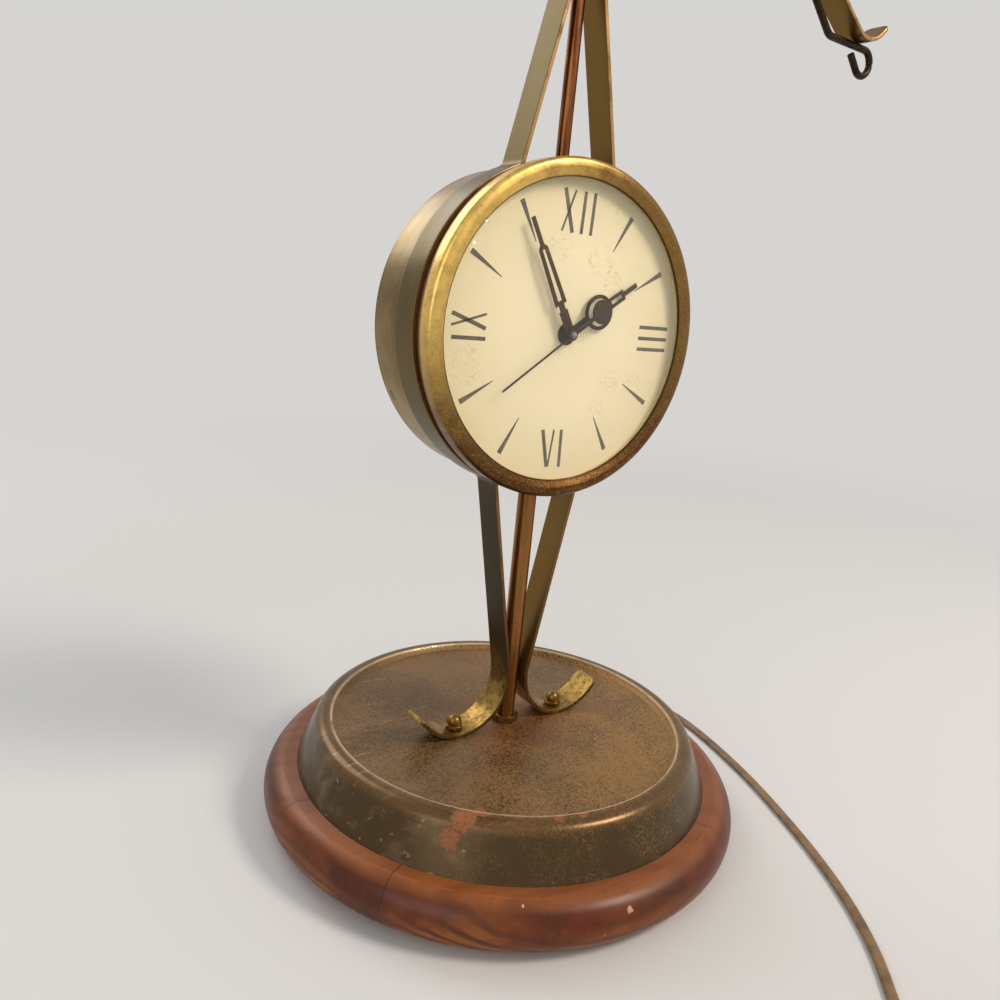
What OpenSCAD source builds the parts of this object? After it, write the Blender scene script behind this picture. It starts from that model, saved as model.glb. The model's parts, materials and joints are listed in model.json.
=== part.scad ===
// Electric table clock carried between two bent straps on a round base.
// Origin at the centre of the underside, +Z up, the dial looks along -Y.

/* [Base] */
// Radius of the wooden base
wood_r = 127; // [122:1:134]
// Thickness of the wooden base
wood_t = 25.4; // [24:0.2:30]
// How far the round edge of the wood reaches inwards
wood_edge = 10; // [8:0.5:12]
// Thickness of the felt under the wood
felt_t = 1.3; // [0.8:0.1:2]
// Radius of the pressed pan at its rim
pan_rim_r = 110.6; // [108:0.2:112]
// Height of the pan above the wood
pan_h = 23.4; // [21:0.2:26]
// Radius of the pan's shoulder
pan_shoulder_r = 102.8; // [100:0.2:104]
// Rounding of the pan's shoulder
pan_shoulder_round = 6; // [4:0.5:7]
// Radius of the ring around the pan's sunk field
pan_ring_r = 94; // [90:0.5:95]
// How far the field lies below the ring
pan_sink = 2.9; // [2:0.1:3.5]
// Sheet thickness of the pan
pan_wall = 1; // [0.8:0.1:1.4]

/* [Column] */
// Radius of the lower tube
tube_r = 4.76; // [4.4:0.02:5]
// Wall of the lower tube
tube_wall = 1; // [0.8:0.1:1.2]
// Radius of the upper rod
rod_r = 3.175; // [2.8:0.025:3.6]
// Height of the dial's centre above the table
dial_z = 257.7; // [250:0.1:266]
// Height at which straps and rod are bolted together
crown_z = 432; // [426:0.5:440]

/* [Straps] */
// Width of the straps
strap_w = 16; // [14:0.5:18]
// Thickness of the straps
strap_t = 2; // [1.6:0.1:2.4]
// Distance of the foot bolts from the middle
foot_x = 33; // [31:0.5:36]
// Straight length of a foot's raised end
foot_tip_run = 8.5; // [6:0.5:11]
// Lean of the lower straps from upright
lean_low = 10.65; // [9.5:0.05:11.5]
// Lean of the upper straps from upright
lean_high = 13.2; // [12.5:0.1:14]
// Bend where a strap leaves the case
leave_r = 5; // [4:0.5:7]
// Bend radius of a strap above the crown bolt
crown_bend_r = 22; // [20:0.5:25]
// Radius of the arm's long arch
arch_r = 140; // [134:1:146]
// Slope at which the arch starts
arch_rise = 36; // [34:0.5:38]
// Slope at which the arch ends
arch_fall = 33; // [31:0.5:35]
// Straight length between the arch and the curled end
arm_run = 30.3; // [27:0.1:34]
// Radius of the arm's curled end
curl_r = 17; // [15:0.5:19]
// Straight length of the curled end
curl_tip_run = 8; // [6:0.5:10]
// Slope of the raised ends of feet and arms
end_rise = 45; // [40:1:50]
// Corner rounding of the strap ends
end_round = 4; // [2:0.5:5]

/* [Hooks] */
// Radius of the hook wire
wire_r = 2; // [1.6:0.1:2.2]
// Slope at which the wire leaves the arch
wire_leave = 16; // [14:0.5:18]
// Bend of the wire where it leaves the arch
wire_bend_r = 40; // [36:1:44]
// Steepest slope of the wire
wire_fall = 42; // [40:0.5:44]
// Bend of the wire before its level run
wire_level_r = 8; // [7:0.5:9]
// Distance of the hook's middle beyond the arm's lowest point
hook_reach = 8; // [6:0.5:10]
// Radius of the hook to the wire's middle
hook_r = 7; // [6:0.25:8]
// Turn of the hook
hook_turn = 225; // [200:5:240]
// Straight end of the hook
hook_leg = 10; // [7:0.5:11]

/* [Case] */
// Radius of the drum
case_r = 76.2; // [74:0.1:78]
// Sheet thickness of the drum and its cover
case_wall = 0.8; // [0.6:0.1:1]
// Depth of the drum behind the middle of the straps
case_rear = 32.6; // [30:0.1:36]
// Dial face in front of the middle of the straps
dial_f = 16.6; // [16:0.1:18]
// Width of the bezel's face from the drum's radius inwards to the glass
bezel_face = 6; // [5:0.1:8]
// How far the bezel stands out from the drum
bezel_out = 2.6; // [2.2:0.1:3]
// Depth of the bezel's side behind its crest
bezel_depth = 9.5; // [8.5:0.1:10]
// How far the bezel's crest stands in front of the dial
bezel_f = 6.9; // [6.4:0.1:7.6]
// How far the glass stands in front of the dial in the middle
glass_dome = 11.7; // [11:0.1:13]
// Thickness of the glass
glass_t = 2; // [1.6:0.1:2.4]

/* [Hands] */
// Angle of the hour hand from twelve
hour_angle = 56.4; // [0:0.1:360]
// Angle of the minute hand from twelve
minute_angle = 330.2; // [0:0.1:360]
// Angle of the second hand from twelve
second_angle = 234; // [0:0.1:360]
// Length of the hour hand
hour_len = 47; // [44:0.5:50]
// Length of the minute hand
minute_len = 57.5; // [54:0.5:62]
// Length of the second hand
second_len = 46.4; // [42:0.2:54]
// Thickness of the hands
hand_t = 0.5; // [0.4:0.05:0.6]

/* [Movement] */
// Module of the minute train
minute_mod = 0.5; // [0.48:0.01:0.52]
// Module of the seconds wheel and its pinions
second_mod = 0.36; // [0.35:0.01:0.37]
// Thickness of the movement's plates
plate_t = 1.2; // [1:0.1:1.4]
// Thickness of the wheels
wheel_t = 1; // [0.8:0.1:1.1]
// Radius of the setting knob
knob_r = 9; // [7:0.5:11]
// Height of the setting knob
knob_h = 9; // [7:0.5:12]

/* [Cord] */
// Width of the flat cord
cord_w = 5.3; // [5:0.1:5.6]
// Thickness of the flat cord
cord_t = 2.7; // [2.5:0.1:2.9]

/* [Hidden] */
$fn = 96;
fit = 0.05;
press = 0.02;
seat = 0.1;
bend_step = 4;
wire_step = 7;
brass = "#a58347";
steel = "#9a9a96";
patina = "#6b5a3c";
copper = "#7a5530";
dark = "#33291b";

// Fasteners: bolt radius, size across the flats and height

bolt_r = 1.95;
foot_flats = 8;
foot_nut_h = 3;
foot_head_h = 3;
crown_bolt_r = 1.45;
crown_flats = 6;
crown_nut_h = 2.4;
crown_head_h = 2;
tube_flats = 12.7;
tube_nut_h = 4;
locknut_flats = 17;
locknut_h = 3.5;
case_flats = 14;
case_nut_h = 4;
rod_flats = 10;
rod_nut_h = 4;
washer_r = 13;
washer_t = 1.5;
screw_r = 1.2;
screw_head_r = 2;
screw_head_h = 1.4;

// Points and paths

function arc(cx, cy, r, a0, a1, n) =
    [for (i = [0:n]) let (a = a0 + (a1 - a0) * i / n) [cx + r * cos(a), cy + r * sin(a)]];

// A path is a start [x, z, heading] and moves [length, 0] or [radius, turn to the left]
function bend_centre(s, r, turn) = [s[0] - sign(turn) * r * sin(s[2]), s[1] + sign(turn) * r * cos(s[2])];
function bent(s, r, turn, share) =
    let (c = bend_centre(s, r, turn), h = s[2] + turn * share)
    [c[0] + sign(turn) * r * sin(h), c[1] - sign(turn) * r * cos(h), h];
function moved(s, m, step) =
    m[1] == 0 ? [[s[0] + m[0] * cos(s[2]), s[1] + m[0] * sin(s[2]), s[2]]]
    : let (n = ceil(abs(m[1]) / step)) [for (i = [1:n]) bent(s, m[0], m[1], i / n)];
function trail(s, moves, step = bend_step, i = 0) =
    i == len(moves) ? [s]
    : let (steps = moved(s, moves[i], step), last = steps[len(steps) - 1])
        concat([s], [for (k = [0:1:len(steps) - 2]) steps[k]], trail(last, moves, step, i + 1));
function after(s, moves, count, i = 0) =
    i == count ? s
    : after(let (steps = moved(s, moves[i], 90)) steps[len(steps) - 1], moves, count, i + 1);
function beside(s, d) = [s[0] - d * sin(s[2]), s[1] + d * cos(s[2])];

// Base

wood_top = felt_t + wood_t;
field_z = wood_top + pan_h - pan_sink;
edge_r = (pow(wood_t / 2, 2) + pow(wood_edge, 2)) / (2 * wood_edge);
felt_r = wood_r - wood_edge - 5;
well_r = 16;
well_h = 12;
well_top = felt_t + well_h;
tube_in = 10;
rod_in = 8;
rod_over = 6;
tube_low = well_top - washer_t - locknut_h - 1;
outlet_z = felt_t + 7.7;
outlet_r = 3.6;
spot_y = wood_r - 2.5;
spot_r = 5.2;
pan_bead = 1.4;

// Straps

// How far a flat disc of radius r stays off the bottom of a hollow of radius R
function corner_lift(R, r) = R - sqrt(R * R - r * r);
strap_line_x = tube_r + strap_t / 2 + seat;
foot_bend_r = foot_x - strap_line_x;
foot_low_z = field_z + strap_t / 2;
foot_axis_z = foot_low_z + foot_bend_r;
hoop_r = case_r + strap_t / 2 + seat;
foot_turn = 90 + end_rise + lean_low;
crown_x = rod_r + strap_t / 2 + seat;
strap_out = crown_x + strap_t / 2;
foot_nut_lift = corner_lift(foot_bend_r - strap_t / 2, foot_flats / 2 / cos(30));
crown_nut_lift = corner_lift(crown_bend_r - strap_t / 2, crown_flats / 2 / cos(30));
low_start = [foot_x - foot_bend_r * cos(lean_low), foot_axis_z + foot_bend_r * sin(lean_low)];
high_start = [crown_x + crown_bend_r * (1 - cos(lean_high)), crown_z - crown_bend_r * sin(lean_high)];

// Length of the straight run to the bend that meets the hoop, and where that bend's centre lies
function run_to_hoop(p, d, n) =
    let (v = p + leave_r * n - [0, dial_z], b = v * d)
    -b - sqrt(b * b - v * v + pow(hoop_r + leave_r, 2));
function leave_angle(p, d, n) =
    let (c = p + run_to_hoop(p, d, n) * d + leave_r * n - [0, dial_z]) atan2(c[1], c[0]);
low_dir = [sin(lean_low), cos(lean_low)];
low_side = [cos(lean_low), -sin(lean_low)];
high_dir = [sin(lean_high), -cos(lean_high)];
high_side = [cos(lean_high), sin(lean_high)];
low_run = run_to_hoop(low_start, low_dir, low_side);
high_run = run_to_hoop(high_start, high_dir, high_side);
low_angle = leave_angle(low_start, low_dir, low_side);
high_angle = leave_angle(high_start, high_dir, high_side);
foot_mid = [foot_x, foot_low_z, 180];
foot_end = let (s = bent(foot_mid, foot_bend_r, -1, -end_rise))
    [s[0] + foot_tip_run * cos(end_rise), s[1] + foot_tip_run * sin(end_rise), 180 + end_rise];
strap_moves = [[foot_tip_run, 0], [foot_bend_r, -foot_turn], [low_run, 0], [leave_r, low_angle + lean_low],
    [hoop_r, high_angle - low_angle], [leave_r, lean_high - high_angle], [high_run, 0],
    [crown_bend_r, arch_rise - 90 - lean_high], [arch_r, -arch_rise - arch_fall], [arm_run, 0],
    [curl_r, arch_fall + end_rise], [curl_tip_run, 0]];
arch_start = after(foot_end, strap_moves, 8);
arch_centre = bend_centre(arch_start, arch_r, -1);
curl_start = after(foot_end, strap_moves, 10);
curl_centre = bend_centre(curl_start, curl_r, 1);
arm_end = after(foot_end, strap_moves, len(strap_moves));

// Hooks

wire_arch_r = arch_r - strap_t / 2 - wire_r - seat;
wire_from = 2;
wire_start = [arch_centre[0] + wire_arch_r * sin(wire_from), arch_centre[1] + wire_arch_r * cos(wire_from),
    -wire_from];
wire_level_z = curl_centre[1] - curl_r - strap_t / 2 - wire_r - seat;
wire_bends = [[wire_arch_r, wire_from - wire_leave], [wire_bend_r, wire_leave - wire_fall]];
wire_high = after(wire_start, wire_bends, len(wire_bends));
wire_run = (wire_high[1] - wire_level_r * (1 - cos(wire_fall)) - wire_level_z) / sin(wire_fall);
wire_level_x = wire_high[0] + wire_run * cos(wire_fall) + wire_level_r * sin(wire_fall);
hook_x = curl_centre[0] + hook_reach;
wire_moves = concat(wire_bends, [[wire_run, 0], [wire_level_r, wire_fall], [hook_x - wire_level_x, 0],
    [hook_r, -hook_turn], [hook_leg, 0]]);

// Head: places in front of the middle of the straps, along -Y

dial_t = 0.8;
dial_back = dial_f - dial_t;
ring_f = dial_f + 3;
crest_f = dial_f + bezel_f;
bezel_r = case_r + bezel_out;
bezel_rear = crest_f - bezel_depth;
bezel_wall = 0.9;
bezel_round = 3.5;
bezel_sweep = 112;
bezel_grip = 3;
lip_f = crest_f - 1.6;
drum_in = case_r - case_wall;
rim_r = drum_in - 0.6;
glass_r = case_r - bezel_face;
glass_seat_f = lip_f - bezel_wall - fit;
glass_drop = dial_f + glass_dome - glass_seat_f;
glass_ball_r = (pow(glass_r, 2) + pow(glass_drop, 2)) / (2 * glass_drop);
slot_angles = [208.5, 328.5, 88.5];
slot_len = 5.1;
slot_w = 2;
slot_back = 5.3;
slot_f = slot_back - case_rear;
vent_at = case_r * 0.6;
vent_len = case_r * 0.18;
vent_r = 1.5;
skirt_h = 8;
dial_lip = 7;
knob_gap = 1;
hour_f = dial_f + 1.7;
minute_f = hour_f + 1.6;
second_f = minute_f + 1.8;
nut_f = dial_f + 1.2;

// Movement: places along the same axis

front_back = dial_back - plate_t;
back_front = -3.8;
back_back = back_front - plate_t;
arbor_r = 0.6;
cannon_r = 1.5;
pipe_r = 2.4;
bush_r = 3.4;
stud_r = 0.8;
set_r = 1.2;
set_hole_r = set_r + 1.4;
pivot_r = 0.5;

// Tooth below and above the pitch circle in modules, and its half width at foot and top in pitches
tooth_depth = 1.15;
tooth_rise = 0.85;
tooth_foot = 0.27;
tooth_top = 0.09;
hub_r = 3;
centre_hub_r = 4.6;
rim_w = 2.2;
cannon_teeth = 12;
minute_teeth = 36;
minute_pinion_teeth = 10;
hour_teeth = 40;
second_teeth = 60;
leaf_teeth = 8;
centre_teeth = 64;
drive_teeth = 10;
work_gap = minute_mod * (cannon_teeth + minute_teeth) / 2;
hour_mod = 2 * work_gap / (minute_pinion_teeth + hour_teeth);
minute_at = [0, -work_gap];
set_at = [0, -2 * work_gap];
third_gap = second_mod * (leaf_teeth + second_teeth) / 2;
centre_mod = 2 * third_gap / (leaf_teeth + centre_teeth);
third_dir = 150;
third_at = third_gap * [cos(third_dir), sin(third_dir)];
drive_gap = second_mod * (drive_teeth + second_teeth) / 2;
drive_dir = 60;
drive_at = drive_gap * [cos(drive_dir), sin(drive_dir)];
plate_x = 24;
plate_low = -2 * work_gap - 7;
plate_high = 26;
pillar_r = 2;
pillar_at = [[-20, 22], [20, 22], [-20, plate_low + 4], [20, plate_low + 4]];
hour_wheel_f = 11.8;
minute_wheel_f = 8.6;
centre_wheel_f = 3.6;
third_wheel_f = -0.4;
second_wheel_f = -2.6;

// Phase at which the second of two meshing gears needs a tooth, seen along the line from the first
function meshed(phase, teeth, other, dir) = dir + 180 + (dir - phase) * teeth / other + 180 / other;
cannon_phase = -minute_angle;
minute_phase = meshed(cannon_phase, cannon_teeth, minute_teeth, -90);
hour_phase = meshed(minute_phase, minute_pinion_teeth, hour_teeth, 90);
set_phase = meshed(minute_phase, minute_teeth, cannon_teeth, -90);
second_phase = -second_angle;
third_phase = meshed(second_phase, leaf_teeth, second_teeth, third_dir);
centre_phase = meshed(third_phase, leaf_teeth, centre_teeth, third_dir + 180);
drive_phase = meshed(second_phase, second_teeth, drive_teeth, drive_dir);

// Motor

core_front = -9;
core_t = 8;
core_x = [-20, 24];
core_z = [-17, 27];
can_r = 12;
limb_z = [-16, -10];
window_x = [-13, 13];
window_high = -4;
coil_wall = 3.6;
bobbin_x = 12;
bobbin_wall = 0.8;
post_at = [[-16.5, 3], [20.5, -8]];
post_r = 2;

// Cord: points on the way from the bushing to the coil, then the coil's own sizes

bushing_end = 138;
bushing_grip = 12;
cord_z = cord_t / 2;
route = [[0, 138, 9], [0, 141, 9], [0, 144, 8.9], [0, 150, 7.8], [1, 156, 6], [6, 166, 3],
    [15, 176, 1.35], [28, 184, 1.35], [44, 188, 1.35], [62, 186, 1.35], [82, 178, 1.35],
    [102, 163, 1.35], [121, 143, 1.35], [138, 118, 1.35], [151, 90, 1.35], [160, 62, 1.35],
    [164, 36, 1.35], [164, 12, 1.35], [160, -12, 1.35], [154, -36, 1.35], [146, -62, 1.35],
    [136, -88, 1.35], [125, -114, 1.35], [112, -140, 1.35], [98, -163, 1.35], [83, -183, 1.35],
    [67, -200, 1.35], [51, -216.5, 1.35], [35.4, -232.9, 1.35]];
lead_r = 1.3;
lead_route = [[0, spot_y - bushing_grip, outlet_z], [0, 100, outlet_z], [0, 60, outlet_z],
    [0, 30, outlet_z], [0, 22, outlet_z - 0.4], [0, 16, outlet_z - 1.4],
    [0, 10, tube_low - 2.2], [0, 4.4, tube_low - 3],
    [0, 1.2, tube_low + 0.6], [0, 0, tube_low + 6], [0, 0, 40], [0, 0, 90], [0, 0, 140],
    [0, 0, dial_z - case_r + 12], [-1, 1, dial_z - 52], [-4, 6, dial_z - 40], [-7, 11, dial_z - 30],
    [-7, coil_wall - core_front + 0.8, dial_z - 19.7]];
coil_at = [60, -265];
coil_r = 40;
coil_enter = 136;
coil_turns = 2.77;
coil_pitch = 6.6;
coil_layer = 3.4;
coil_lead = 6;
coil_inner_r = coil_r - coil_turns * coil_pitch;
plug_w = 22;
plug_h = 12;
plug_nose = [1, 10, 9];
plug_len = 28;
plug_run = 36;
blade = [1.5, 6.3, 17];
blade_gap = 12.7;

// Shapes that repeat

// Turns the drawing plane upright: x stays, y points up and z points forward out of the dial
module on_head() {
    translate([0, 0, dial_z]) rotate([90, 0, 0]) children();
}

module hex_nut(flats, h, bore) {
    difference() {
        cylinder(r = flats / 2 / cos(30), h = h, $fn = 6);
        translate([0, 0, -1]) cylinder(r = bore, h = h + 2);
    }
}

module domed_nut(flats, h, bore) {
    dome = flats * 0.46;
    difference() {
        union() {
            cylinder(r = flats / 2 / cos(30), h = h, $fn = 6);
            translate([0, 0, h]) rotate_extrude() intersection() {
                circle(dome);
                square(dome);
            }
        }
        translate([0, 0, -1]) cylinder(r = bore, h = h + 1 + dome * 0.4);
    }
}

// Gear in the drawing plane with straight-sided teeth, one of them centred on the phase
module gear(teeth, mod, phase, h, bore) {
    root = mod * (teeth / 2 - tooth_depth);
    tip = mod * (teeth / 2 + tooth_rise);
    pitch = 360 / teeth;
    outline = [for (i = [0:teeth - 1]) let (a = phase + i * pitch)
        each [for (p = [[root, -tooth_foot], [tip, -tooth_top], [tip, tooth_top], [root, tooth_foot]])
            p[0] * [cos(a + p[1] * pitch), sin(a + p[1] * pitch)]]];
    linear_extrude(h) difference() {
        polygon(outline);
        if (bore > 0) circle(bore);
    }
}

// Openings that lighten a wheel between its hub and its rim
module spokes(hub, rim, h, count) {
    if (rim - hub > 2) linear_extrude(h) for (i = [0:count - 1]) rotate(i * 360 / count)
        difference() {
            intersection() {
                circle(rim);
                translate([hub / 2, hub / 2]) square(rim);
            }
            circle(hub);
        }
}

// A flat strip along a path, with the path's plane upright and the strip centred on y = 0
module strip(start, moves, w, t) {
    states = trail(start, moves);
    n = len(states);
    left = [for (s = states) beside(s, t / 2)];
    right = [for (i = [1:n]) beside(states[n - i], -t / 2)];
    translate([0, w / 2, 0]) rotate([90, 0, 0]) linear_extrude(w) polygon(concat(left, right));
}

// Takes the corners off a strip's end; x runs out of the end
module end_corners(s, heading, w, t) {
    translate([s[0], 0, s[1]]) rotate([0, -heading, 0]) for (side = [-1, 1])
        difference() {
            translate([-end_round, side > 0 ? w / 2 - end_round : -w / 2 - 1, -t])
                cube([end_round + 1, end_round + 1, 2 * t]);
            translate([-end_round, side * (w / 2 - end_round), -2 * t]) cylinder(r = end_round, h = 4 * t);
        }
}

// Smooth points through a route, and a tube of an oval section along points
function spline(p, i, u) =
    let (n = len(p) - 1, a = p[max(i - 1, 0)], b = p[i], c = p[i + 1], d = p[min(i + 2, n)])
    0.5 * (2 * b + (c - a) * u + (2 * a - 5 * b + 4 * c - d) * u * u
        + (3 * b - a - 3 * c + d) * u * u * u);
function smooth(p, k) =
    concat([for (i = [0:len(p) - 2], j = [0:k - 1]) spline(p, i, j / k)], [p[len(p) - 1]]);
function length_of(p) =
    let (steps = [for (i = [1:len(p) - 1]) norm(p[i] - p[i - 1])])
    steps * [for (s = steps) 1];
function ahead(p, i) = let (v = p[min(i + 1, len(p) - 1)] - p[max(i - 1, 0)]) v / norm(v);

module oval_tube(p, w, t, sides, across = undef) {
    flat_sides = sides == 6 ? cos(30) : 1;
    rings = [for (i = [0:len(p) - 1])
        let (a = ahead(p, i), u0 = is_undef(across) ? [-a[1], a[0], 0] : cross(across, a),
            u = u0 / norm(u0), v = cross(a, u))
        for (k = [0:sides - 1])
            p[i] + u * cos(k * 360 / sides) * w / 2 + v * sin(k * 360 / sides) * t / 2 / flat_sides];
    n = len(p);
    polyhedron(points = rings, faces = concat(
        [[for (k = [0:sides - 1]) k]],
        [[for (k = [0:sides - 1]) n * sides - 1 - k]],
        [for (i = [0:n - 2], k = [0:sides - 1]) let (q = (k + 1) % sides, b = i * sides)
            [b + k, b + sides + k, b + q]],
        [for (i = [0:n - 2], k = [0:sides - 1]) let (q = (k + 1) % sides, b = i * sides)
            [b + q, b + sides + k, b + sides + q]]));
}

// Round wire along a path in the upright plane
module wire(start, moves, r) {
    oval_tube([for (s = trail(start, moves, wire_step)) [s[0], 0, s[1]]], 2 * r, 2 * r, 10, [0, 1, 0]);
}

// Base

module base_felt() {
    color("#2f3a2e") cylinder(r = felt_r, h = felt_t);
}

module wood_base() {
    color("#7c3a22") difference() {
        translate([0, 0, felt_t]) rotate_extrude() union() {
            square([wood_r - edge_r, wood_t]);
            intersection() {
                translate([wood_r - edge_r, wood_t / 2]) circle(edge_r);
                square([wood_r, wood_t]);
            }
        }
        translate([0, 0, felt_t - 1]) cylinder(r = well_r, h = well_h + 1);
        cylinder(r = tube_r + seat, h = wood_top + 1);
        translate([0, well_r / 2, outlet_z]) rotate([-90, 0, 0]) cylinder(r = outlet_r, h = wood_r);
        translate([0, spot_y, outlet_z]) rotate([-90, 0, 0]) cylinder(r = spot_r, h = wood_r);
    }
}

// Outline of the pan's sheet, drawn a wall's thickness inside its outer face when asked
function pan_outline(in) =
    let (cx = pan_shoulder_r - pan_shoulder_round, cz = pan_h - pan_shoulder_round,
        reach = norm([pan_rim_r - cx, cz]), dir = atan2(-cz, pan_rim_r - cx),
        touch = dir + acos(pan_shoulder_round / reach),
        field_r = pan_ring_r - pan_bead - pan_sink * 0.7 - in * 0.4, field = pan_h - pan_sink - in)
    concat(
        [[pan_rim_r - in / cos(touch), 0]],
        arc(cx, cz, pan_shoulder_round - in, touch, 90, 8),
        [[pan_ring_r + pan_bead, pan_h - in]],
        arc(pan_ring_r, pan_h - pan_bead, pan_bead - in * 0.5, 60, 150, 5),
        [[field_r, field], [tube_r + seat, field]]);

module base_pan() {
    color(patina) difference() {
        translate([0, 0, wood_top]) rotate_extrude() difference() {
            polygon(concat(pan_outline(0), [[tube_r + seat, 0]]));
            polygon(concat(pan_outline(pan_wall), [[0, pan_h - pan_sink - pan_wall], [0, -1],
                [pan_outline(pan_wall)[0][0], -1]]));
        }
        for (x = [-foot_x, foot_x]) translate([x, 0, wood_top]) cylinder(r = bolt_r + fit, h = pan_h);
    }
}

// Column

module column_tube() {
    color(copper) difference() {
        translate([0, 0, tube_low]) cylinder(r = tube_r, h = dial_z - case_r + tube_in - tube_low);
        cylinder(r = tube_r - tube_wall, h = dial_z);
    }
}

module tube_nut() {
    color(brass) translate([0, 0, field_z]) hex_nut(tube_flats, tube_nut_h, tube_r + fit);
}

module tube_washer() {
    color(steel) translate([0, 0, well_top - washer_t]) difference() {
        cylinder(r = washer_r, h = washer_t);
        translate([0, 0, -1]) cylinder(r = tube_r + seat, h = washer_t + 2);
    }
}

module tube_locknut() {
    color(steel) translate([0, 0, well_top - washer_t - locknut_h])
        hex_nut(locknut_flats, locknut_h, tube_r + fit);
}

// Distance from the drum's middle at which a nut's corners reach its inner face
function in_drum(flats) = sqrt(pow(drum_in, 2) - pow(flats / 2 / cos(30), 2)) - seat;

module case_nut() {
    color(steel) translate([0, 0, dial_z - in_drum(case_flats)])
        hex_nut(case_flats, case_nut_h, tube_r + fit);
}

module upper_rod() {
    low = dial_z + case_r - rod_in;
    color(copper) difference() {
        translate([0, 0, low]) cylinder(r = rod_r, h = crown_z + rod_over - low);
        translate([-rod_r - 1, 0, crown_z]) rotate([0, 90, 0])
            cylinder(r = crown_bolt_r + fit, h = 2 * rod_r + 2);
    }
}

module rod_nut() {
    color(steel) translate([0, 0, dial_z + in_drum(rod_flats) - rod_nut_h])
        hex_nut(rod_flats, rod_nut_h, rod_r + fit);
}

// Straps and their fasteners

module strap() {
    color("#7d6540") difference() {
        strip(foot_end, strap_moves, strap_w, strap_t);
        end_corners(foot_end, end_rise, strap_w, strap_t);
        end_corners(arm_end, end_rise, strap_w, strap_t);
        translate([foot_x, 0, field_z - 1]) cylinder(r = bolt_r + fit, h = strap_t + 2);
        translate([0, 0, crown_z]) rotate([0, 90, 0]) cylinder(r = crown_bolt_r + fit, h = strap_out + 1);
    }
}

module right_strap() {
    strap();
}

module left_strap() {
    mirror([1, 0, 0]) strap();
}

module foot_bolts() {
    color(brass) for (x = [-foot_x, foot_x]) translate([x, 0, field_z - pan_wall - foot_head_h]) {
        cylinder(r = foot_flats / 2 / cos(30), h = foot_head_h, $fn = 6);
        cylinder(r = bolt_r, h = foot_head_h + pan_wall + strap_t + foot_nut_lift + foot_nut_h);
    }
}

module acorn_nuts() {
    color(brass) for (x = [-foot_x, foot_x]) translate([x, 0, field_z + strap_t + foot_nut_lift])
        domed_nut(foot_flats, foot_nut_h, bolt_r + fit);
}

module crown_bolt() {
    color(brass) translate([-strap_out - crown_nut_lift, 0, crown_z]) rotate([0, 90, 0]) {
        translate([0, 0, -crown_head_h]) cylinder(r = crown_flats / 2, h = crown_head_h);
        cylinder(r = crown_bolt_r, h = 2 * strap_out + 2 * crown_nut_lift + crown_nut_h);
    }
}

module crown_nut() {
    color(brass) translate([strap_out + crown_nut_lift, 0, crown_z]) rotate([0, 90, 0])
        domed_nut(crown_flats, crown_nut_h, crown_bolt_r + fit);
}

module right_hook() {
    color("#4a3c28") wire(wire_start, wire_moves, wire_r);
}

module left_hook() {
    mirror([1, 0, 0]) right_hook();
}

// Case

module slot_places() {
    for (a = slot_angles) on_head() rotate([0, 0, a]) translate([0, 0, slot_f]) children();
}

module case_shell() {
    color(patina) difference() {
        on_head() rotate_extrude($fn = 180) union() {
            translate([drum_in, -case_rear]) square([case_wall, case_rear + dial_back]);
            translate([drum_in - dial_lip, dial_back - case_wall])
                square([dial_lip + case_wall / 2, case_wall]);
        }
        slot_places() translate([drum_in - 2, -slot_len / 2, -slot_w / 2])
            cube([case_wall + 4, slot_len, slot_w]);
        cylinder(r = tube_r + seat, h = dial_z);
        translate([0, 0, dial_z]) cylinder(r = rod_r + seat, h = crown_z);
    }
}

module back_cover() {
    skirt_r = drum_in - fit;
    color(patina) difference() {
        union() {
            on_head() rotate_extrude($fn = 180) union() {
                translate([skirt_r - case_wall, -case_rear]) square([case_wall, skirt_h]);
                translate([0, -case_rear]) square([skirt_r - case_wall / 2, case_wall]);
            }
            slot_places() translate([skirt_r - case_wall / 2, -slot_len / 2 + 0.4, -slot_w / 2 + 0.2])
                cube([case_wall + case_wall / 2, slot_len - 0.8, slot_w - 0.4]);
        }
        on_head() translate([set_at[0], set_at[1], -case_rear - 1])
            cylinder(r = set_hole_r, h = case_wall + 2);
        on_head() for (a = [30:20:150]) rotate([0, 0, a]) translate([vent_at, 0, -case_rear - 1])
            linear_extrude(case_wall + 2) {
                square([vent_len, 2 * vent_r], center = true);
                for (x = [-vent_len / 2, vent_len / 2]) translate([x, 0]) circle(vent_r);
            }
    }
}

module bezel() {
    cx = bezel_r - bezel_round;
    cf = crest_f - bezel_round;
    lip_back = lip_f - bezel_wall;
    flange = bezel_rear + bezel_wall;
    face = arc(cx, cf, bezel_round, 0, bezel_sweep, 12);
    lining = arc(cx, cf, bezel_round - bezel_wall, 0, bezel_sweep, 12);
    color("#b08a45") on_head() rotate_extrude($fn = 180) difference() {
        polygon(concat([[case_r + fit, bezel_rear], [bezel_r, bezel_rear]], face,
            [[glass_r, lip_f], [glass_r, lip_back], [case_r + fit, lip_back]]));
        polygon(concat([[glass_r, flange], [bezel_r - bezel_wall, flange]], lining,
            [[glass_r + bezel_grip, lip_back], [glass_r, lip_back]]));
    }
}

module crystal() {
    apex = dial_f + glass_dome;
    centre_f = apex - glass_ball_r;
    color("#dfe8ea", 0.35) on_head() rotate_extrude($fn = 180) intersection() {
        difference() {
            translate([0, centre_f]) circle(glass_ball_r, $fn = 360);
            translate([0, centre_f]) circle(glass_ball_r - glass_t, $fn = 360);
        }
        translate([0, ring_f]) square([rim_r, glass_dome]);
    }
}

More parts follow.
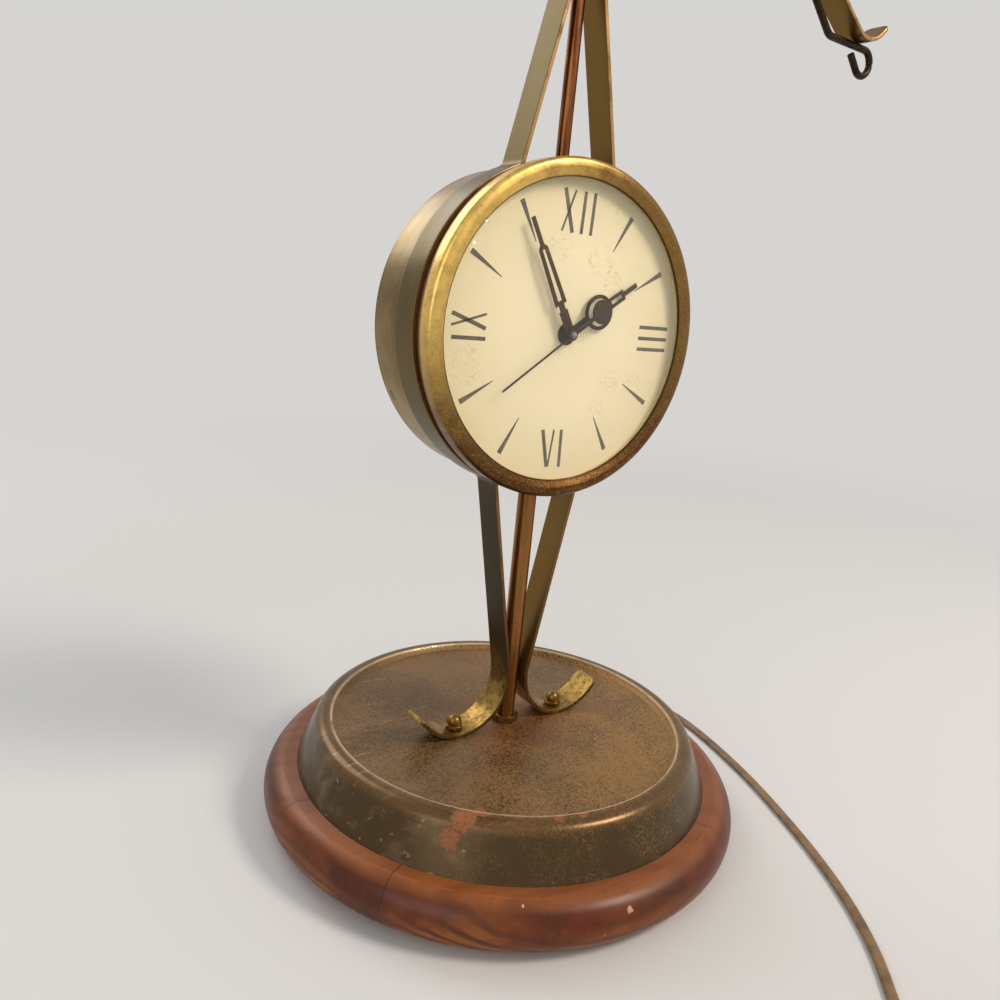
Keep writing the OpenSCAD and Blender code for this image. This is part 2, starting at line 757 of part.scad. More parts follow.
module dial() {
    color("#e8dcb8") on_head() translate([0, 0, dial_back]) difference() {
        cylinder(r = drum_in - 0.1, h = dial_t);
        translate([0, 0, -1]) cylinder(r = bush_r + fit, h = dial_t + 2);
    }
}

module dial_ring() {
    color("#c9b98c") on_head() translate([0, 0, dial_f]) difference() {
        cylinder(r = drum_in - 0.1, h = ring_f - dial_f);
        translate([0, 0, -1]) cylinder(r = glass_r + 0.4, h = ring_f);
    }
}

// Hands, drawn pointing up

module hand(f, angle) {
    on_head() rotate([0, 0, -angle]) translate([0, 0, f]) linear_extrude(hand_t) children();
}

module hour_hand() {
    boss = 3.6;
    stem = 4.4;
    ring_r = 8.4;
    ring_in = 6.6;
    body = 5.2;
    slot = 2;
    tip = 2.3;
    ring_at = hour_len * 0.437;
    collar = hour_len * 0.81;
    body_low = ring_at + ring_in + 0.4;
    slot_low = ring_at + ring_r + 0.4;
    slot_high = collar - (body - slot) / 2;
    color(dark) hand(hour_f, hour_angle) difference() {
        union() {
            circle(boss);
            translate([-stem / 2, 0]) square([stem, ring_at - ring_in]);
            translate([0, ring_at]) circle(ring_r);
            translate([-body / 2, body_low]) square([body, collar - body_low]);
            translate([-tip / 2, collar - 1]) square([tip, hour_len - collar + 1]);
        }
        circle(pipe_r + fit);
        translate([0, ring_at]) circle(ring_in);
        translate([-slot / 2, slot_low]) square([slot, slot_high - slot_low]);
    }
}

module minute_hand() {
    boss = 3;
    stem = 5;
    neck = 3.2;
    low_w = 6.8;
    high_w = 5.2;
    tip = 2.2;
    slot_low_w = 2.4;
    slot_high_w = 1.4;
    chamfer = 1.4;
    base = minute_len * 0.27;
    shoulder = minute_len * 0.77;
    color(dark) hand(minute_f, minute_angle) difference() {
        union() {
            circle(boss);
            translate([-stem / 2, 0]) square([stem, base - neck]);
            translate([-neck / 2, base - neck - 1]) square([neck, neck + 2]);
            polygon([[-low_w / 2, base], [low_w / 2, base], [high_w / 2, shoulder - chamfer],
                [chamfer, shoulder], [-chamfer, shoulder], [-high_w / 2, shoulder - chamfer]]);
            translate([-tip / 2, shoulder - 1]) square([tip, minute_len - shoulder + 1]);
        }
        circle(cannon_r + fit);
        polygon([[-slot_low_w / 2, base + 1.8], [slot_low_w / 2, base + 1.8],
            [slot_high_w / 2, shoulder - 2], [-slot_high_w / 2, shoulder - 2]]);
    }
}

module second_hand() {
    boss = 2.6;
    needle = 0.9;
    stem = 2.2;
    disc = 5.8;
    tail = second_len * 0.43;
    color(dark) hand(second_f, second_angle) difference() {
        union() {
            circle(boss);
            translate([-needle / 2, 0]) square([needle, second_len]);
            translate([-stem / 2, -tail]) square([stem, tail]);
            translate([0, -tail]) circle(disc);
        }
        circle(arbor_r + press);
    }
}

// Motion work

module centre_nut() {
    color("#3d3122") on_head() translate([0, 0, dial_f]) difference() {
        union() {
            cylinder(r = 5.2, h = 0.6);
            translate([0, 0, 0.6]) cylinder(r = 4.4, h = nut_f - dial_f - 0.6);
        }
        translate([0, 0, -1]) cylinder(r = bush_r + fit, h = 4);
    }
}

module hour_wheel() {
    color(brass) on_head() translate([0, 0, hour_wheel_f]) difference() {
        union() {
            gear(hour_teeth, hour_mod, hour_phase, wheel_t, 0);
            cylinder(r = pipe_r, h = hour_f + hand_t + 0.2 - hour_wheel_f, $fn = 48);
        }
        translate([0, 0, -1]) cylinder(r = cannon_r + fit, h = hour_f, $fn = 48);
    }
}

module cannon_pinion() {
    low = centre_wheel_f - 1;
    color(brass) on_head() difference() {
        union() {
            translate([0, 0, minute_wheel_f - 0.4])
                gear(cannon_teeth, minute_mod, cannon_phase, wheel_t + 0.8, 0);
            translate([0, 0, low]) cylinder(r = cannon_r, h = minute_f + hand_t + 0.2 - low, $fn = 48);
            translate([0, 0, low]) cylinder(r = pipe_r, h = 0.8, $fn = 48);
            translate([0, 0, centre_wheel_f + wheel_t + 0.6]) cylinder(r = pipe_r - 0.2, h = 1.2, $fn = 48);
        }
        translate([0, 0, low - 1]) cylinder(r = arbor_r + fit, h = minute_f, $fn = 48);
        translate([0, 0, minute_f - 3]) cylinder(r = arbor_r + fit, h = 6, $fn = 48);
    }
}

module minute_wheel() {
    pinion_f = hour_wheel_f - 0.3;
    color(brass) on_head() translate([minute_at[0], minute_at[1], 0]) difference() {
        union() {
            translate([0, 0, minute_wheel_f]) gear(minute_teeth, minute_mod, minute_phase, wheel_t, 0);
            translate([0, 0, pinion_f])
                gear(minute_pinion_teeth, hour_mod, minute_phase, wheel_t + 0.6, 0);
            translate([0, 0, minute_wheel_f])
                cylinder(r = 1.7, h = pinion_f - minute_wheel_f + 0.2, $fn = 48);
        }
        translate([0, 0, minute_wheel_f - 1]) cylinder(r = stud_r + fit, h = 8, $fn = 48);
    }
}

module set_pinion() {
    low = -case_rear - knob_h + 2;
    color(steel) on_head() translate([set_at[0], set_at[1], 0]) {
        translate([0, 0, minute_wheel_f - 0.4]) gear(cannon_teeth, minute_mod, set_phase, wheel_t + 0.8, 0);
        translate([0, 0, low]) cylinder(r = set_r, h = dial_back - 0.2 - low, $fn = 48);
    }
}

module set_knob() {
    flute_r = 0.8;
    flutes = 24;
    color("#1d1a17") on_head() translate([set_at[0], set_at[1], -case_rear - knob_gap])
        mirror([0, 0, 1]) difference() {
            linear_extrude(knob_h) difference() {
                circle(knob_r);
                for (i = [1:flutes]) rotate(i * 360 / flutes) translate([knob_r + 0.3, 0])
                    circle(flute_r, $fn = 16);
            }
            translate([0, 0, -1]) cylinder(r = set_r + press, h = knob_h - 1, $fn = 48);
        }
}

// Going train

module seconds_arbor() {
    color(brass) on_head() {
        translate([0, 0, back_back + seat])
            cylinder(r = arbor_r, h = second_f + hand_t + 0.3 - back_back, $fn = 48);
        translate([0, 0, third_wheel_f - 0.6]) gear(leaf_teeth, second_mod, second_phase, wheel_t + 1.2, 0);
        translate([0, 0, second_wheel_f]) difference() {
            gear(second_teeth, second_mod, second_phase, wheel_t, 0);
            translate([0, 0, -1]) spokes(hub_r, second_mod * second_teeth / 2 - rim_w, wheel_t + 2, 4);
        }
    }
}

module third_wheel() {
    color(brass) on_head() translate([third_at[0], third_at[1], 0]) {
        translate([0, 0, back_back + seat])
            cylinder(r = pivot_r, h = dial_back - 2 * seat - back_back, $fn = 48);
        translate([0, 0, third_wheel_f]) difference() {
            gear(second_teeth, second_mod, third_phase, wheel_t, 0);
            translate([0, 0, -1]) spokes(hub_r, second_mod * second_teeth / 2 - rim_w, wheel_t + 2, 4);
        }
        translate([0, 0, centre_wheel_f - 0.6])
            gear(leaf_teeth, centre_mod, third_phase, wheel_t + 1.2, 0);
    }
}

module centre_wheel() {
    color(brass) on_head() translate([0, 0, centre_wheel_f]) difference() {
        gear(centre_teeth, centre_mod, centre_phase, wheel_t, cannon_r + fit);
        translate([0, 0, -1]) spokes(centre_hub_r, centre_mod * centre_teeth / 2 - rim_w, wheel_t + 2, 4);
    }
}

module clutch_spring() {
    spring_t = 0.4;
    spring_r = 2.6;
    arm = [4.2, 1.2];
    color(steel) on_head() translate([0, 0, centre_wheel_f + wheel_t + seat]) linear_extrude(spring_t)
        difference() {
            union() {
                circle(spring_r);
                for (a = [0:120:240]) rotate(a) translate([0, -arm[1] / 2]) square(arm);
            }
            circle(cannon_r + press, $fn = 48);
        }
}

module plate_outline() {
    translate([-plate_x, plate_low]) square([2 * plate_x, plate_high - plate_low]);
}

module plate_holes(r) {
    for (p = pillar_at) translate(p) circle(r);
}

module front_plate() {
    color(brass) on_head() difference() {
        union() {
            translate([0, 0, front_back]) linear_extrude(plate_t) difference() {
                plate_outline();
                plate_holes(screw_r + fit);
            }
            translate([0, 0, front_back]) cylinder(r = bush_r, h = nut_f + 0.2 - front_back);
            translate([minute_at[0], minute_at[1], minute_wheel_f - 0.8])
                cylinder(r = stud_r, h = front_back + 0.5 - minute_wheel_f + 0.8, $fn = 48);
        }
        translate([0, 0, front_back - 1]) cylinder(r = pipe_r + fit, h = 8);
        translate([set_at[0], set_at[1], front_back - 1]) cylinder(r = set_r + fit, h = 4, $fn = 48);
        translate([third_at[0], third_at[1], front_back - 1]) cylinder(r = pivot_r + fit, h = 4, $fn = 48);
    }
}

module back_plate() {
    color(brass) on_head() translate([0, 0, back_back]) difference() {
        linear_extrude(plate_t) difference() {
            plate_outline();
            plate_holes(screw_r + fit);
        }
        translate([0, 0, -1]) cylinder(r = arbor_r + fit, h = 4, $fn = 48);
        translate([set_at[0], set_at[1], -1]) cylinder(r = set_r + fit, h = 4, $fn = 48);
        translate([third_at[0], third_at[1], -1]) cylinder(r = pivot_r + fit, h = 4, $fn = 48);
        translate([drive_at[0], drive_at[1], -1]) cylinder(r = stud_r + 0.4, h = 4, $fn = 48);
        for (p = post_at) translate([p[0], p[1], -1]) cylinder(r = screw_r + fit, h = 4);
    }
}

module plate_pillars() {
    color(steel) on_head() for (p = pillar_at) translate([p[0], p[1], back_front]) difference() {
        cylinder(r = pillar_r, h = front_back - back_front, $fn = 48);
        for (z = [-1, front_back - back_front - 5]) translate([0, 0, z])
            cylinder(r = screw_r + fit, h = 6, $fn = 48);
    }
}

module plate_screws() {
    color(steel) on_head() for (p = pillar_at) translate([p[0], p[1], back_back]) {
        translate([0, 0, -screw_head_h]) cylinder(r = screw_head_r, h = screw_head_h, $fn = 48);
        translate([0, 0, -0.5]) cylinder(r = screw_r, h = plate_t + 4.5, $fn = 48);
        translate([0, 0, front_back - back_back - 4])
            cylinder(r = screw_r, h = plate_t + 4 - seat, $fn = 48);
    }
}

// Motor

module stator_core() {
    color("#5b5f63") on_head() translate([0, 0, core_front - core_t]) difference() {
        window_w = window_x[1] - window_x[0];
        linear_extrude(core_t) difference() {
            translate([core_x[0], core_z[0]]) square([core_x[1] - core_x[0], core_z[1] - core_z[0]]);
            translate([window_x[0], limb_z[1]]) square([window_w, window_high - limb_z[1]]);
            translate([window_x[0], core_z[0] - 1]) square([window_w, limb_z[0] - core_z[0] + 1]);
            translate(drive_at) circle(can_r + seat);
            for (p = post_at) translate(p) circle(screw_r + fit);
        }
    }
}

module core_posts() {
    color(steel) on_head() for (p = post_at) translate([p[0], p[1], core_front]) difference() {
        cylinder(r = post_r, h = back_back - core_front, $fn = 48);
        translate([0, 0, -1]) cylinder(r = screw_r + fit, h = back_back - core_front + 2, $fn = 48);
    }
}

module core_screws() {
    color(steel) on_head() for (p = post_at) translate([p[0], p[1], core_front - core_t]) {
        translate([0, 0, -screw_head_h]) cylinder(r = screw_head_r, h = screw_head_h, $fn = 48);
        translate([0, 0, -0.5])
            cylinder(r = screw_r, h = back_back - core_front + core_t + plate_t, $fn = 48);
    }
}

// Hollow box round the core's limb, along x
module round_limb(x0, x1, inner, outer) {
    z_mid = (limb_z[0] + limb_z[1]) / 2;
    z_half = (limb_z[1] - limb_z[0]) / 2;
    on_head() translate([x0, z_mid, core_front - core_t / 2]) rotate([90, 0, 90]) linear_extrude(x1 - x0)
        difference() {
            square([2 * (z_half + outer), core_t + 2 * outer], center = true);
            square([2 * (z_half + inner), core_t + 2 * inner], center = true);
        }
}

module coil_bobbin() {
    color("#3a2b1c") {
        round_limb(-bobbin_x, bobbin_x, seat, bobbin_wall);
        round_limb(-bobbin_x, 1 - bobbin_x, seat, coil_wall + 0.4);
        round_limb(bobbin_x - 1, bobbin_x, seat, coil_wall + 0.4);
    }
}

module motor_coil() {
    color("#8a4a26") round_limb(1.1 - bobbin_x, bobbin_x - 1.1, bobbin_wall + seat, coil_wall);
}

module rotor_can() {
    over = 3;
    low = core_front - core_t - over;
    color("#a9a9a4") on_head() translate([drive_at[0], drive_at[1], 0]) difference() {
        translate([0, 0, low]) cylinder(r = can_r, h = back_back - seat - low);
        translate([0, 0, back_back - 3]) cylinder(r = stud_r + fit, h = 4, $fn = 48);
    }
}

module drive_pinion() {
    low = back_back - 2.8;
    color(brass) on_head() translate([drive_at[0], drive_at[1], 0]) {
        translate([0, 0, low]) cylinder(r = stud_r, h = second_wheel_f + wheel_t + 0.2 - low, $fn = 48);
        translate([0, 0, second_wheel_f - 0.3])
            gear(drive_teeth, second_mod, drive_phase, wheel_t + 0.6, 0);
    }
}

// Lead and cord

module cord_bushing() {
    color("#1f1a16") translate([0, 0, outlet_z]) rotate([-90, 0, 0]) {
        translate([0, 0, spot_y - bushing_grip]) cylinder(r = outlet_r - seat, h = bushing_grip + 0.5);
        translate([0, 0, spot_y + seat]) cylinder(r = spot_r - 0.3, h = 1.8);
        translate([0, 0, spot_y + 1])
            cylinder(r1 = spot_r - 1, r2 = outlet_r - 0.5, h = bushing_end - spot_y - 1);
    }
}

module inner_lead() {
    color("#5a4630") oval_tube(smooth(lead_route, 3), 2 * lead_r, 2 * lead_r, 8, [1, 0.2, 0]);
}

module cord() {
    color("#6a4a2c") oval_tube(smooth(route, 2), cord_w, cord_t, 8);
}

// Points along the coil: straight in, spiral inwards, a half turn up, spiral outwards, then on to the plug
function coil_point(turn) =
    let (a = coil_enter + 360 * turn,
        r = turn < coil_turns ? coil_r - coil_pitch * turn
            : coil_inner_r + coil_pitch * max(0, turn - coil_turns - 0.5),
        up = max(0, min(1, (turn - coil_turns) * 2)))
    [coil_at[0] + r * cos(a), coil_at[1] + r * sin(a), cord_z + coil_layer * up];
coil_count = 24;
coil_total = 2 * coil_turns + 0.5;
coil_last = coil_enter + 360 * coil_total + 90;
coil_steps = floor(coil_total * coil_count);
coil_begin = coil_point(0) - coil_lead * [cos(coil_enter + 90), sin(coil_enter + 90), 0];
coil_winding = [for (i = [0:coil_steps]) coil_point(i * coil_total / coil_steps)];
coil_out = coil_winding[coil_steps];
plug_dir = [cos(coil_last), sin(coil_last), 0];
plug_z = plug_h / 2;
coil_path = concat([coil_begin], coil_winding,
    [coil_out + 10 * plug_dir - [0, 0, 0.9], coil_out + 20 * plug_dir - [0, 0, 0.6],
    [coil_out[0], coil_out[1], plug_z] + (plug_run - 5.5) * plug_dir,
    [coil_out[0], coil_out[1], plug_z] + plug_run * plug_dir]);
// Distance between two sections, as far as a flat oval lets them come
function apart(a, b) =
    let (d = b - a, flat = norm([d[0], d[1]]), k = norm([flat / cord_w, d[2] / cord_t]))
    norm(d) * (1 - 1 / k);
coil_gap = min([for (i = [0:coil_steps - coil_count + 1], j = [i + coil_count - 1:coil_steps])
    apart(coil_winding[i], coil_winding[j])]);
echo(cord_coil_least_gap_mm = coil_gap);
echo(cord_length_mm = length_of(smooth(route, 4)) + length_of(coil_path));

module cord_coil() {
    color("#6a4a2c") oval_tube(coil_path, cord_w, cord_t, 6);
}

module at_plug() {
    translate([coil_out[0], coil_out[1], 0] + plug_run * plug_dir) rotate([0, 0, coil_last]) children();
}

module plug_body() {
    color("#2a1d14") at_plug() translate([0, 0, plug_z]) hull() {
        translate([0, -plug_nose[1] / 2, -plug_nose[2] / 2]) cube(plug_nose);
        translate([plug_len * 0.35, -plug_w / 2, -plug_h / 2]) cube([plug_len * 0.65, plug_w, plug_h]);
    }
}

module plug_blades() {
    color(brass) at_plug() for (side = [-1, 1])
        translate([plug_len, side * blade_gap / 2 - blade[0] / 2, plug_z - blade[1] / 2])
            cube([blade[2], blade[0], blade[1]]);
}

base_felt();
wood_base();
base_pan();
column_tube();
tube_nut();
tube_locknut();
tube_washer();
case_nut();
left_strap();
right_strap();
foot_bolts();
acorn_nuts();
upper_rod();
rod_nut();
crown_bolt();
crown_nut();
left_hook();
right_hook();
case_shell();
back_cover();
bezel();
crystal();
dial();
dial_ring();
centre_nut();
hour_hand();
minute_hand();
second_hand();
hour_wheel();
cannon_pinion();
minute_wheel();
seconds_arbor();
third_wheel();
centre_wheel();
clutch_spring();
front_plate();
back_plate();
plate_pillars();
plate_screws();
stator_core();
core_posts();
core_screws();
coil_bobbin();
motor_coil();
rotor_can();
drive_pinion();
set_pinion();
set_knob();
cord_bushing();
inner_lead();
cord();
cord_coil();
plug_body();
plug_blades();
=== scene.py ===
"""Electric table clock carried between two bent straps: the looks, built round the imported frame."""

import json
import logging
import math
from collections.abc import Callable, Iterable, Sequence
from dataclasses import dataclass, field
from enum import Enum

import bmesh
import bpy
from mathutils import Matrix, Vector

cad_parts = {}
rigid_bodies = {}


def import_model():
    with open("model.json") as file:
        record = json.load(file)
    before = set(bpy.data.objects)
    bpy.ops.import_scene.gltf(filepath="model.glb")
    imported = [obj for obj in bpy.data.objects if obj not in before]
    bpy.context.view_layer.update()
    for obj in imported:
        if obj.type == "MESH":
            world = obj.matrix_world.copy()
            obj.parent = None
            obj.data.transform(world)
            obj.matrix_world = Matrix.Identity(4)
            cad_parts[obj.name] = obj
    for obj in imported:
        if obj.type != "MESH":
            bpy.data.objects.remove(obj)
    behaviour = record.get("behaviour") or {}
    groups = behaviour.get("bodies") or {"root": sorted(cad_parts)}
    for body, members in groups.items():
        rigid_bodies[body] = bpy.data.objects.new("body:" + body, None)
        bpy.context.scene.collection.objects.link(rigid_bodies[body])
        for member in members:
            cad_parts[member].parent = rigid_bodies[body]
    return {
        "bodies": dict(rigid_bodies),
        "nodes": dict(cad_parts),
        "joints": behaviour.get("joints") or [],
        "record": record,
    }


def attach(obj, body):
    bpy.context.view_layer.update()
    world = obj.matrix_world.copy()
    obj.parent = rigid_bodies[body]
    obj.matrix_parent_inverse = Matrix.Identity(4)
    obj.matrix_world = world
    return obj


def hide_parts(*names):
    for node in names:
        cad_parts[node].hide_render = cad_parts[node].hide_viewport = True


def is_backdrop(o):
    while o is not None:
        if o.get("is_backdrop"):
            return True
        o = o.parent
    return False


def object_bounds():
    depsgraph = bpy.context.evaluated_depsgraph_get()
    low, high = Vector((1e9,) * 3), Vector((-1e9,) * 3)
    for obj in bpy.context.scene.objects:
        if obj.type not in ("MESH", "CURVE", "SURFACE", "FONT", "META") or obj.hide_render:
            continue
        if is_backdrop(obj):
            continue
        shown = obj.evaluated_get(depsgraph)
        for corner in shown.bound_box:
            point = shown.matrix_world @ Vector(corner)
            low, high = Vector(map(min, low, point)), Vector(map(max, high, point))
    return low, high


MM = 0.001
# Scale of a ring wave whose rings are one millimetre apart.
WAVE_PER_MM = 314.16
LOG = logging.getLogger("clock")
Point2 = tuple[float, float]
Point3 = tuple[float, float, float]
State = tuple[float, float, float]
Piece = bpy.types.Object
Socket = bpy.types.NodeSocket


class Body(Enum):
    """The bodies of the frame that pieces ride on."""

    ROOT = "root"
    MINUTE = "minute_train"
    HOUR = "hour_train"
    SETTING = "setting_stem"
    SECONDS = "seconds_train"


# Paths and outlines


def scaled(point: Sequence[float]) -> tuple[float, ...]:
    """A point in millimetres turned to metres."""
    return tuple(c * MM for c in point)


def arc(cx: float, cy: float, r: float, a0: float, a1: float, count: int) -> list[Point2]:
    """Points on an arc.

    Args:
        cx: Centre across.
        cy: Centre up.
        r: Radius.
        a0: First angle in degrees.
        a1: Last angle in degrees.
        count: Number of steps.

    Returns:
        The points, both ends included.
    """
    turn = [math.radians(a0 + (a1 - a0) * i / count) for i in range(count + 1)]
    return [(cx + r * math.cos(a), cy + r * math.sin(a)) for a in turn]


def rounded(corners: Sequence[Point3], step: float = 12.0) -> list[Point2]:
    """An open line whose inner corners are rounded.

    Args:
        corners: Across, up and corner radius of each point.
        step: Degrees between points on a corner.

    Returns:
        The points of the rounded line.
    """
    line: list[Point2] = [corners[0][:2]]
    for before, here, after in zip(corners, corners[1:], corners[2:]):
        p, a, b = Vector(here[:2]), Vector(before[:2]), Vector(after[:2])
        u, v = (a - p).normalized(), (b - p).normalized()
        half = math.acos(max(-1.0, min(1.0, u.dot(v)))) / 2
        if here[2] <= 0 or half > math.radians(89):
            line.append((p.x, p.y))
            continue
        back = min(here[2] / math.tan(half), 0.49 * (a - p).length, 0.49 * (b - p).length)
        r = back * math.tan(half)
        centre = p + (u + v).normalized() * (r / math.sin(half))
        start, end = p + u * back - centre, p + v * back - centre
        a0 = math.atan2(start.y, start.x)
        turn = (math.atan2(end.y, end.x) - a0 + math.pi) % (2 * math.pi) - math.pi
        count = max(2, math.ceil(abs(math.degrees(turn)) / step))
        line += arc(centre.x, centre.y, r, math.degrees(a0), math.degrees(a0 + turn), count)
    line.append(corners[-1][:2])
    return line


def bent(state: State, radius: float, turn: float, share: float = 1.0) -> State:
    """Where a path stands after part of a bend.

    Args:
        state: Across, up and heading in degrees.
        radius: Bend radius.
        turn: Whole turn to the left in degrees.
        share: Share of the turn that is made.

    Returns:
        The new state.
    """
    side = math.copysign(1.0, turn)
    a, b = math.radians(state[2]), math.radians(state[2] + turn * share)
    x = state[0] - side * radius * (math.sin(a) - math.sin(b))
    z = state[1] + side * radius * (math.cos(a) - math.cos(b))
    return (x, z, state[2] + turn * share)


def trail(start: State, moves: Sequence[Point2], step: float) -> list[State]:
    """All the states along a path.

    Args:
        start: First state.
        moves: Length and 0 for a straight run, or radius and turn for a bend.
        step: Degrees between states in a bend.

    Returns:
        The states, both ends included.
    """
    states = [start]
    for size, turn in moves:
        here = states[-1]
        if turn == 0:
            a = math.radians(here[2])
            states.append((here[0] + size * math.cos(a), here[1] + size * math.sin(a), here[2]))
            continue
        count = max(1, math.ceil(abs(turn) / step))
        states += [bent(here, size, turn, i / count) for i in range(1, count + 1)]
    return states


def spline(points: Sequence[Vector], count: int) -> list[Vector]:
    """A smooth line through points.

    Args:
        points: The points to pass.
        count: Steps between two points.

    Returns:
        The points of the smooth line.
    """
    line: list[Vector] = []
    last = len(points) - 1
    for i in range(last):
        a, b, c, d = (points[min(max(i + k, 0), last)] for k in (-1, 0, 1, 2))
        for j in range(count):
            u = j / count
            line.append(0.5 * ((2 * b) + (c - a) * u + (2 * a - 5 * b + 4 * c - d) * u * u
                               + (3 * b - a - 3 * c + d) * u * u * u))
    line.append(points[last])
    return line


# Modelling by hand


def start() -> None:
    """Leaves edit mode and deselects everything."""
    if bpy.context.object is not None and bpy.context.object.mode != "OBJECT":
        bpy.ops.object.mode_set(mode="OBJECT")
    bpy.ops.object.select_all(action="DESELECT")


def only(piece: Piece) -> None:
    """Makes a piece the one that is active and selected.

    Args:
        piece: The piece.
    """
    start()
    piece.select_set(True)
    bpy.context.view_layer.objects.active = piece


def opened(piece: Piece) -> None:
    """Enters edit mode with all of a piece selected.

    Args:
        piece: The piece.
    """
    only(piece)
    bpy.ops.object.mode_set(mode="EDIT")
    bpy.ops.mesh.select_all(action="SELECT")


def added(name: str, data: bpy.types.ID) -> bpy.types.Object:
    """Adds an object to the scene.

    Args:
        name: Its name.
        data: Its mesh, curve, lamp or camera.

    Returns:
        The object.
    """
    thing = bpy.data.objects.new(name, data)
    bpy.context.collection.objects.link(thing)
    return thing


def pick(piece: Piece, kind: str, wanted: Callable[[Vector], bool]) -> int:
    """Selects vertices, edges or faces of the piece in edit mode by their middle.

    Args:
        piece: The piece, in edit mode.
        kind: "VERT", "EDGE" or "FACE".
        wanted: Says for a middle point in metres whether it is selected.

    Returns:
        How many were selected.
    """
    bpy.ops.mesh.select_mode(type=kind)
    bpy.ops.mesh.select_all(action="DESELECT")
    shape = bmesh.from_edit_mesh(piece.data)
    items = {"VERT": shape.verts, "EDGE": shape.edges, "FACE": shape.faces}[kind]
    count = 0
    for item in items:
        middle = item.co if kind == "VERT" else sum((v.co for v in item.verts), Vector()) / len(item.verts)
        if wanted(middle):
            item.select_set(True)
            count += 1
    shape.select_flush_mode()
    bmesh.update_edit_mesh(piece.data)
    return count


def applied() -> Piece:
    """Applies the active piece's transform and returns it."""
    bpy.ops.object.transform_apply(location=True, rotation=True, scale=True)
    return bpy.context.object


def swept(value: Sequence[float]) -> None:
    """Extrudes what is selected in edit mode by a way in metres."""
    bpy.ops.mesh.extrude_region_move(TRANSFORM_OT_translate={"value": value})


def draw(name: str, line: Sequence[Vector]) -> Piece:
    """Draws a line of edges, point by point, and stays in edit mode with its last point selected.

    Args:
        name: Name of the piece.
        line: The points in metres.

    Returns:
        The piece.
    """
    start()
    bpy.ops.mesh.primitive_plane_add(size=MM, location=line[0])
    piece = applied()
    piece.name = piece.data.name = name
    bpy.ops.object.mode_set(mode="EDIT")
    bpy.ops.mesh.select_mode(type="VERT")
    bpy.ops.mesh.select_all(action="SELECT")
    bpy.ops.mesh.merge(type="CENTER")
    for a, b in zip(line, line[1:]):
        bpy.ops.mesh.extrude_vertices_move(TRANSFORM_OT_translate={"value": b - a})
    return piece


def tidy(piece: Piece, angle: float = 30.0, merge: float = 1e-6) -> Piece:
    """Merges doubles, turns faces outwards and shades by angle.

    Args:
        piece: The piece.
        angle: Edges sharper than this many degrees stay sharp.
        merge: Points closer than this, in metres, become one.

    Returns:
        The piece.
    """
    opened(piece)
    bpy.ops.mesh.remove_doubles(threshold=merge)
    bpy.ops.mesh.normals_make_consistent(inside=False)
    bpy.ops.object.mode_set(mode="OBJECT")
    bpy.ops.object.shade_smooth_by_angle(angle=math.radians(angle))
    return piece


def turned(name: str, outline: Sequence[Point2], steps: int = 128, angle: float = 30.0) -> Piece:
    """Spins an outline round the upright axis through the origin.

    Args:
        name: Name of the piece.
        outline: Radius and height of each point in millimetres.
        steps: Steps round.
        angle: Edges sharper than this many degrees stay sharp.

    Returns:
        The piece.
    """
    piece = draw(name, [Vector((r, 0, h)) * MM for r, h in outline])
    bpy.ops.mesh.select_all(action="SELECT")
    bpy.ops.mesh.spin(steps=steps, angle=math.tau, center=(0, 0, 0), axis=(0, 0, 1))
    return tidy(piece, angle)


def plate(name: str, outline: Sequence[Point2], low: float, high: float) -> Piece:
    """A flat plate with an outline, lying level.

    Args:
        name: Name of the piece.
        outline: Points across and up the drawing in millimetres.
        low: Height of its underside in millimetres.
        high: Height of its top in millimetres.

    Returns:
        The piece.
    """
    piece = draw(name, [Vector((x, y, low)) * MM for x, y in outline])
    bpy.ops.mesh.select_all(action="SELECT")
    bpy.ops.mesh.edge_face_add()
    swept((0, 0, (high - low) * MM))
    return tidy(piece)


def worked(piece: Piece, kind: str, **settings: object) -> Piece:
    """Applies a modifier to a piece.

    Args:
        piece: The piece.
        kind: The modifier's type.
        **settings: The modifier's own properties.

    Returns:
        The piece.
    """
    only(piece)
    tool = piece.modifiers.new(kind, kind)
    for key, value in settings.items():
        setattr(tool, key, value)
    bpy.ops.object.modifier_apply(modifier=tool.name)
    return piece


def bevelled(piece: Piece, width: float, segments: int = 2, angle: float = 40.0) -> Piece:
    """Breaks a piece's sharp edges with an applied bevel.

    Args:
        piece: The piece.
        width: Width in millimetres.
        segments: Steps across the bevel.
        angle: Edges sharper than this many degrees are bevelled.

    Returns:
        The piece.
    """
    return tidy(worked(piece, "BEVEL", width=width * MM, segments=segments, limit_method="ANGLE",
                       angle_limit=math.radians(angle), harden_normals=False))


def refined(source: Piece, name: str, width: float, segments: int = 2) -> Piece:
    """A copy of a node of the frame, merged to whole faces, with its sharp edges broken.

    Args:
        source: The node's object, which stays as it is.
        name: Name of the copy.
        width: Width of the bevel in millimetres.
        segments: Steps across the bevel.

    Returns:
        The copy.
    """
    piece = added(name, source.data.copy())
    piece.data.name = name
    opened(piece)
    bpy.ops.mesh.remove_doubles(threshold=1e-6)
    bpy.ops.mesh.dissolve_limited(angle_limit=math.radians(1.0))
    bpy.ops.object.mode_set(mode="OBJECT")
    return bevelled(piece, width, segments, 35.0)


def cut(piece: Piece, tool: Piece, operation: str = "DIFFERENCE") -> Piece:
    """Cuts one piece with another, which is used up.

    Args:
        piece: The piece that stays.
        tool: The piece that cuts.
        operation: Name of the boolean operation.

    Returns:
        The piece.
    """
    worked(piece, "BOOLEAN", operation=operation, solver="EXACT", object=tool)
    bpy.data.objects.remove(tool, do_unlink=True)
    return piece


